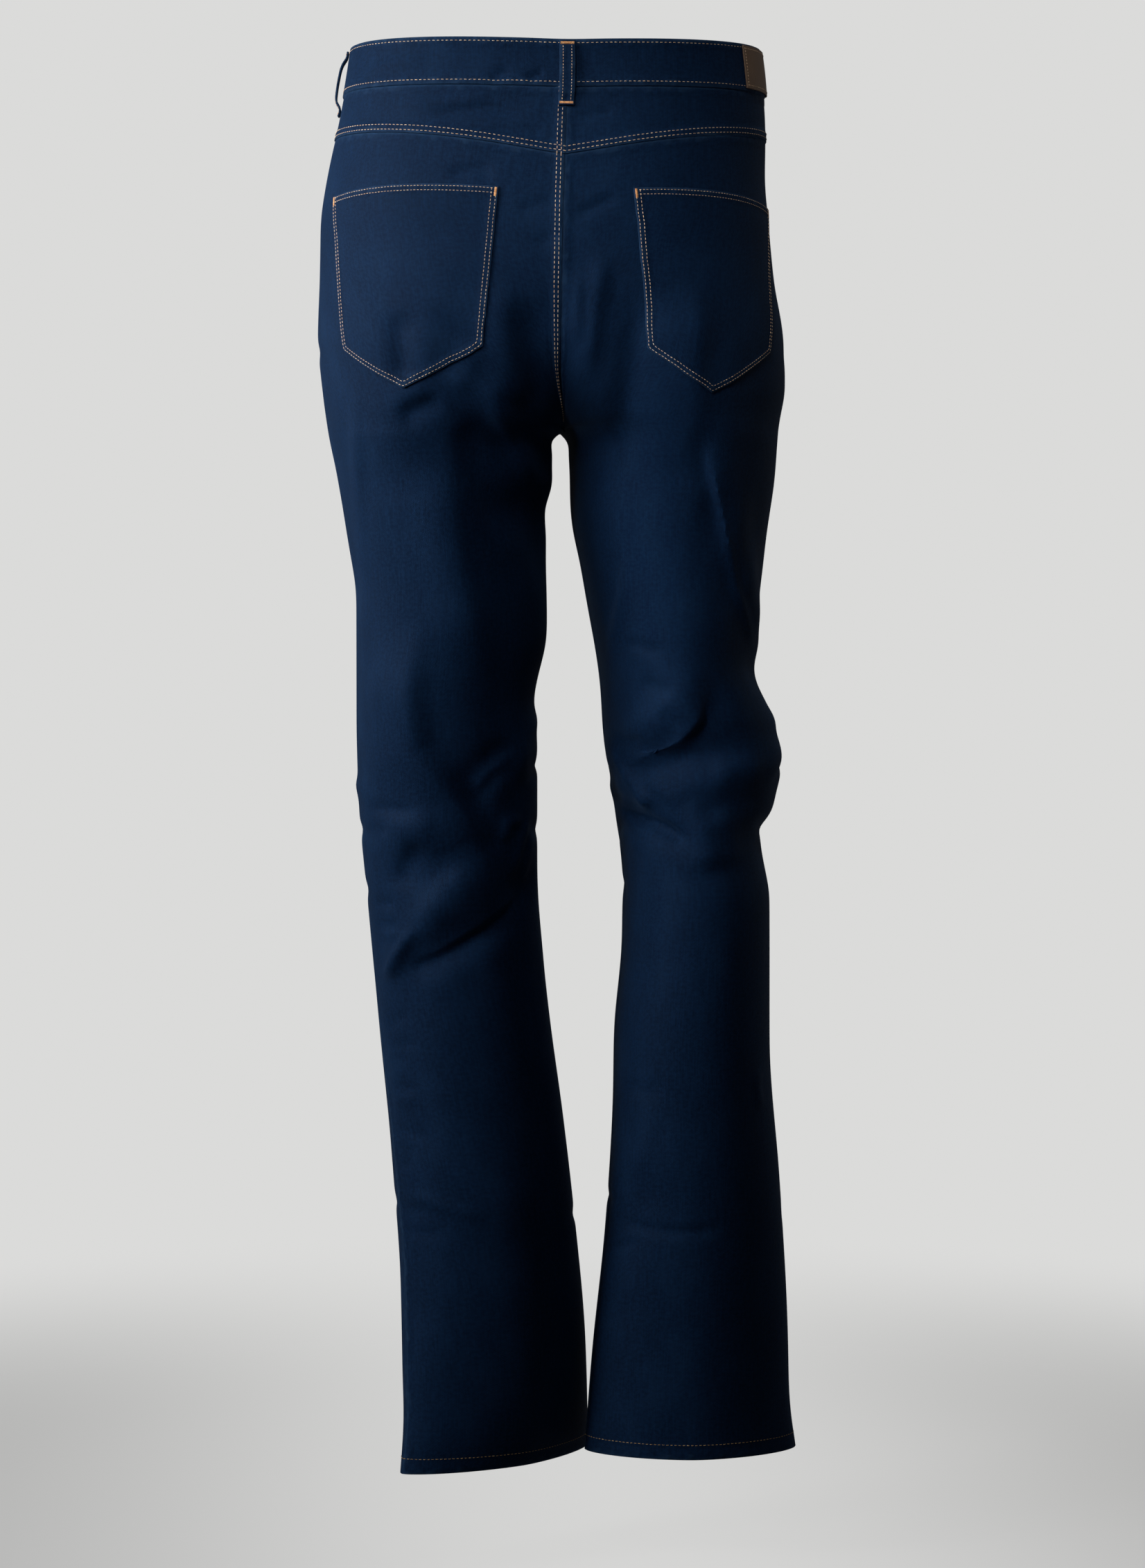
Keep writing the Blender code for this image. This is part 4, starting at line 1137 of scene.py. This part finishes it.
PATCH_LEATHER = 1.3
PATCH_CELL = 1.4

leather, tree, surface = new_material("patch_leather")
grain, stain = blotches(tree, 900.0, 4.0), blotches(tree, 60.0, 3.0)
colour = mixed(tree, stain * 0.8 + grain * 0.3, (0.085, 0.045, 0.022), (0.19, 0.11, 0.058))
bump = output(tree, "ShaderNodeBump", {"Height": grain * 0.2 * MM, "Distance": 1.0})
finish = {
    "Base Color": colour,
    "Roughness": 0.45 + grain * 0.25,
    "Normal": bump,
}
connect(tree, surface, finish)

patch = laid_on(band, plain_band, "leather_patch", 4, PATCH_CELL, LAYER_GAP + PATCH_LEATHER)
piece = add_cloth("leather_patch_skin", patch, PATCH_LEATHER, leather, "", 0.45)
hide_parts("leather_patch")
sew("patch_stitches", [edge_row(patch, edge, 2.0, 2.0, 2.0) for edge in "tblr"], LOOP_STITCH, 9)

# ----------------------------------------------------------- the waist button
# A brass tack button on the waistband's left end: a turned cap with a rolled rim and a
# dished face, pressed on a rivet.

BUTTON_SEGMENTS = 64
# The cap's turned profile from its back to the middle of its face, as radius and height.
BUTTON_PROFILE = (
    (0.0, 0.0), (7.0, 0.0), (8.0, 0.5), (8.5, 1.3), (8.5, 2.0), (8.2, 2.7),
    (7.6, 3.15), (6.9, 3.1), (6.3, 2.8), (5.9, 2.35), (5.4, 2.15),
    (3.4, 2.25), (3.1, 2.55), (2.4, 2.6), (2.1, 2.35), (0.0, 2.45),
)

brass, tree, surface = new_material("button_brass")
wear = blotches(tree, 420.0, 3.0)
colour = mixed(tree, wear.rising(0.3, 0.7), (0.3, 0.19, 0.08), (0.5, 0.36, 0.18))
connect(tree, surface, {"Base Color": colour, "Roughness": 0.26 + wear * 0.2, "Metallic": 1.0})

packed = np.array([vert.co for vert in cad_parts["waist_button"].data.vertices]) / MM
centre = packed.mean(axis=0)
axis = np.linalg.svd(packed - centre, full_matrices=False)[2][2]
axis *= np.sign(axis[:2] @ centre[:2])
back = centre + axis * ((packed - centre) @ axis).min()
side = np.cross((0.0, 0.0, 1.0), axis)
side /= np.linalg.norm(side)
shape = bmesh.new()
rings = []
for radius, height in BUTTON_PROFILE:
    ring = []
    for step in range(BUTTON_SEGMENTS if radius else 1):
        angle = 2 * math.pi * step / BUTTON_SEGMENTS
        ray = math.cos(angle) * side + math.sin(angle) * np.cross(axis, side)
        ring.append(shape.verts.new((back + height * axis + radius * ray) * MM))
    rings.append(ring)
for low, high in zip(rings, rings[1:]):
    for step in range(BUTTON_SEGMENTS):
        after = (step + 1) % BUTTON_SEGMENTS
        corners = [low[step % len(low)], low[after % len(low)]]
        corners += [high[after % len(high)], high[step % len(high)]]
        shape.faces.new(list(dict.fromkeys(corners)))
bmesh.ops.recalc_face_normals(shape, faces=shape.faces)
mesh = bpy.data.meshes.new("waist_button_cap")
shape.to_mesh(mesh)
shape.free()
mesh.materials.append(brass)
mesh.shade_smooth()
piece = bpy.data.objects.new("waist_button_cap", mesh)
bpy.context.scene.collection.objects.link(piece)
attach(piece, "root")
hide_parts("waist_button")

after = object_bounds()
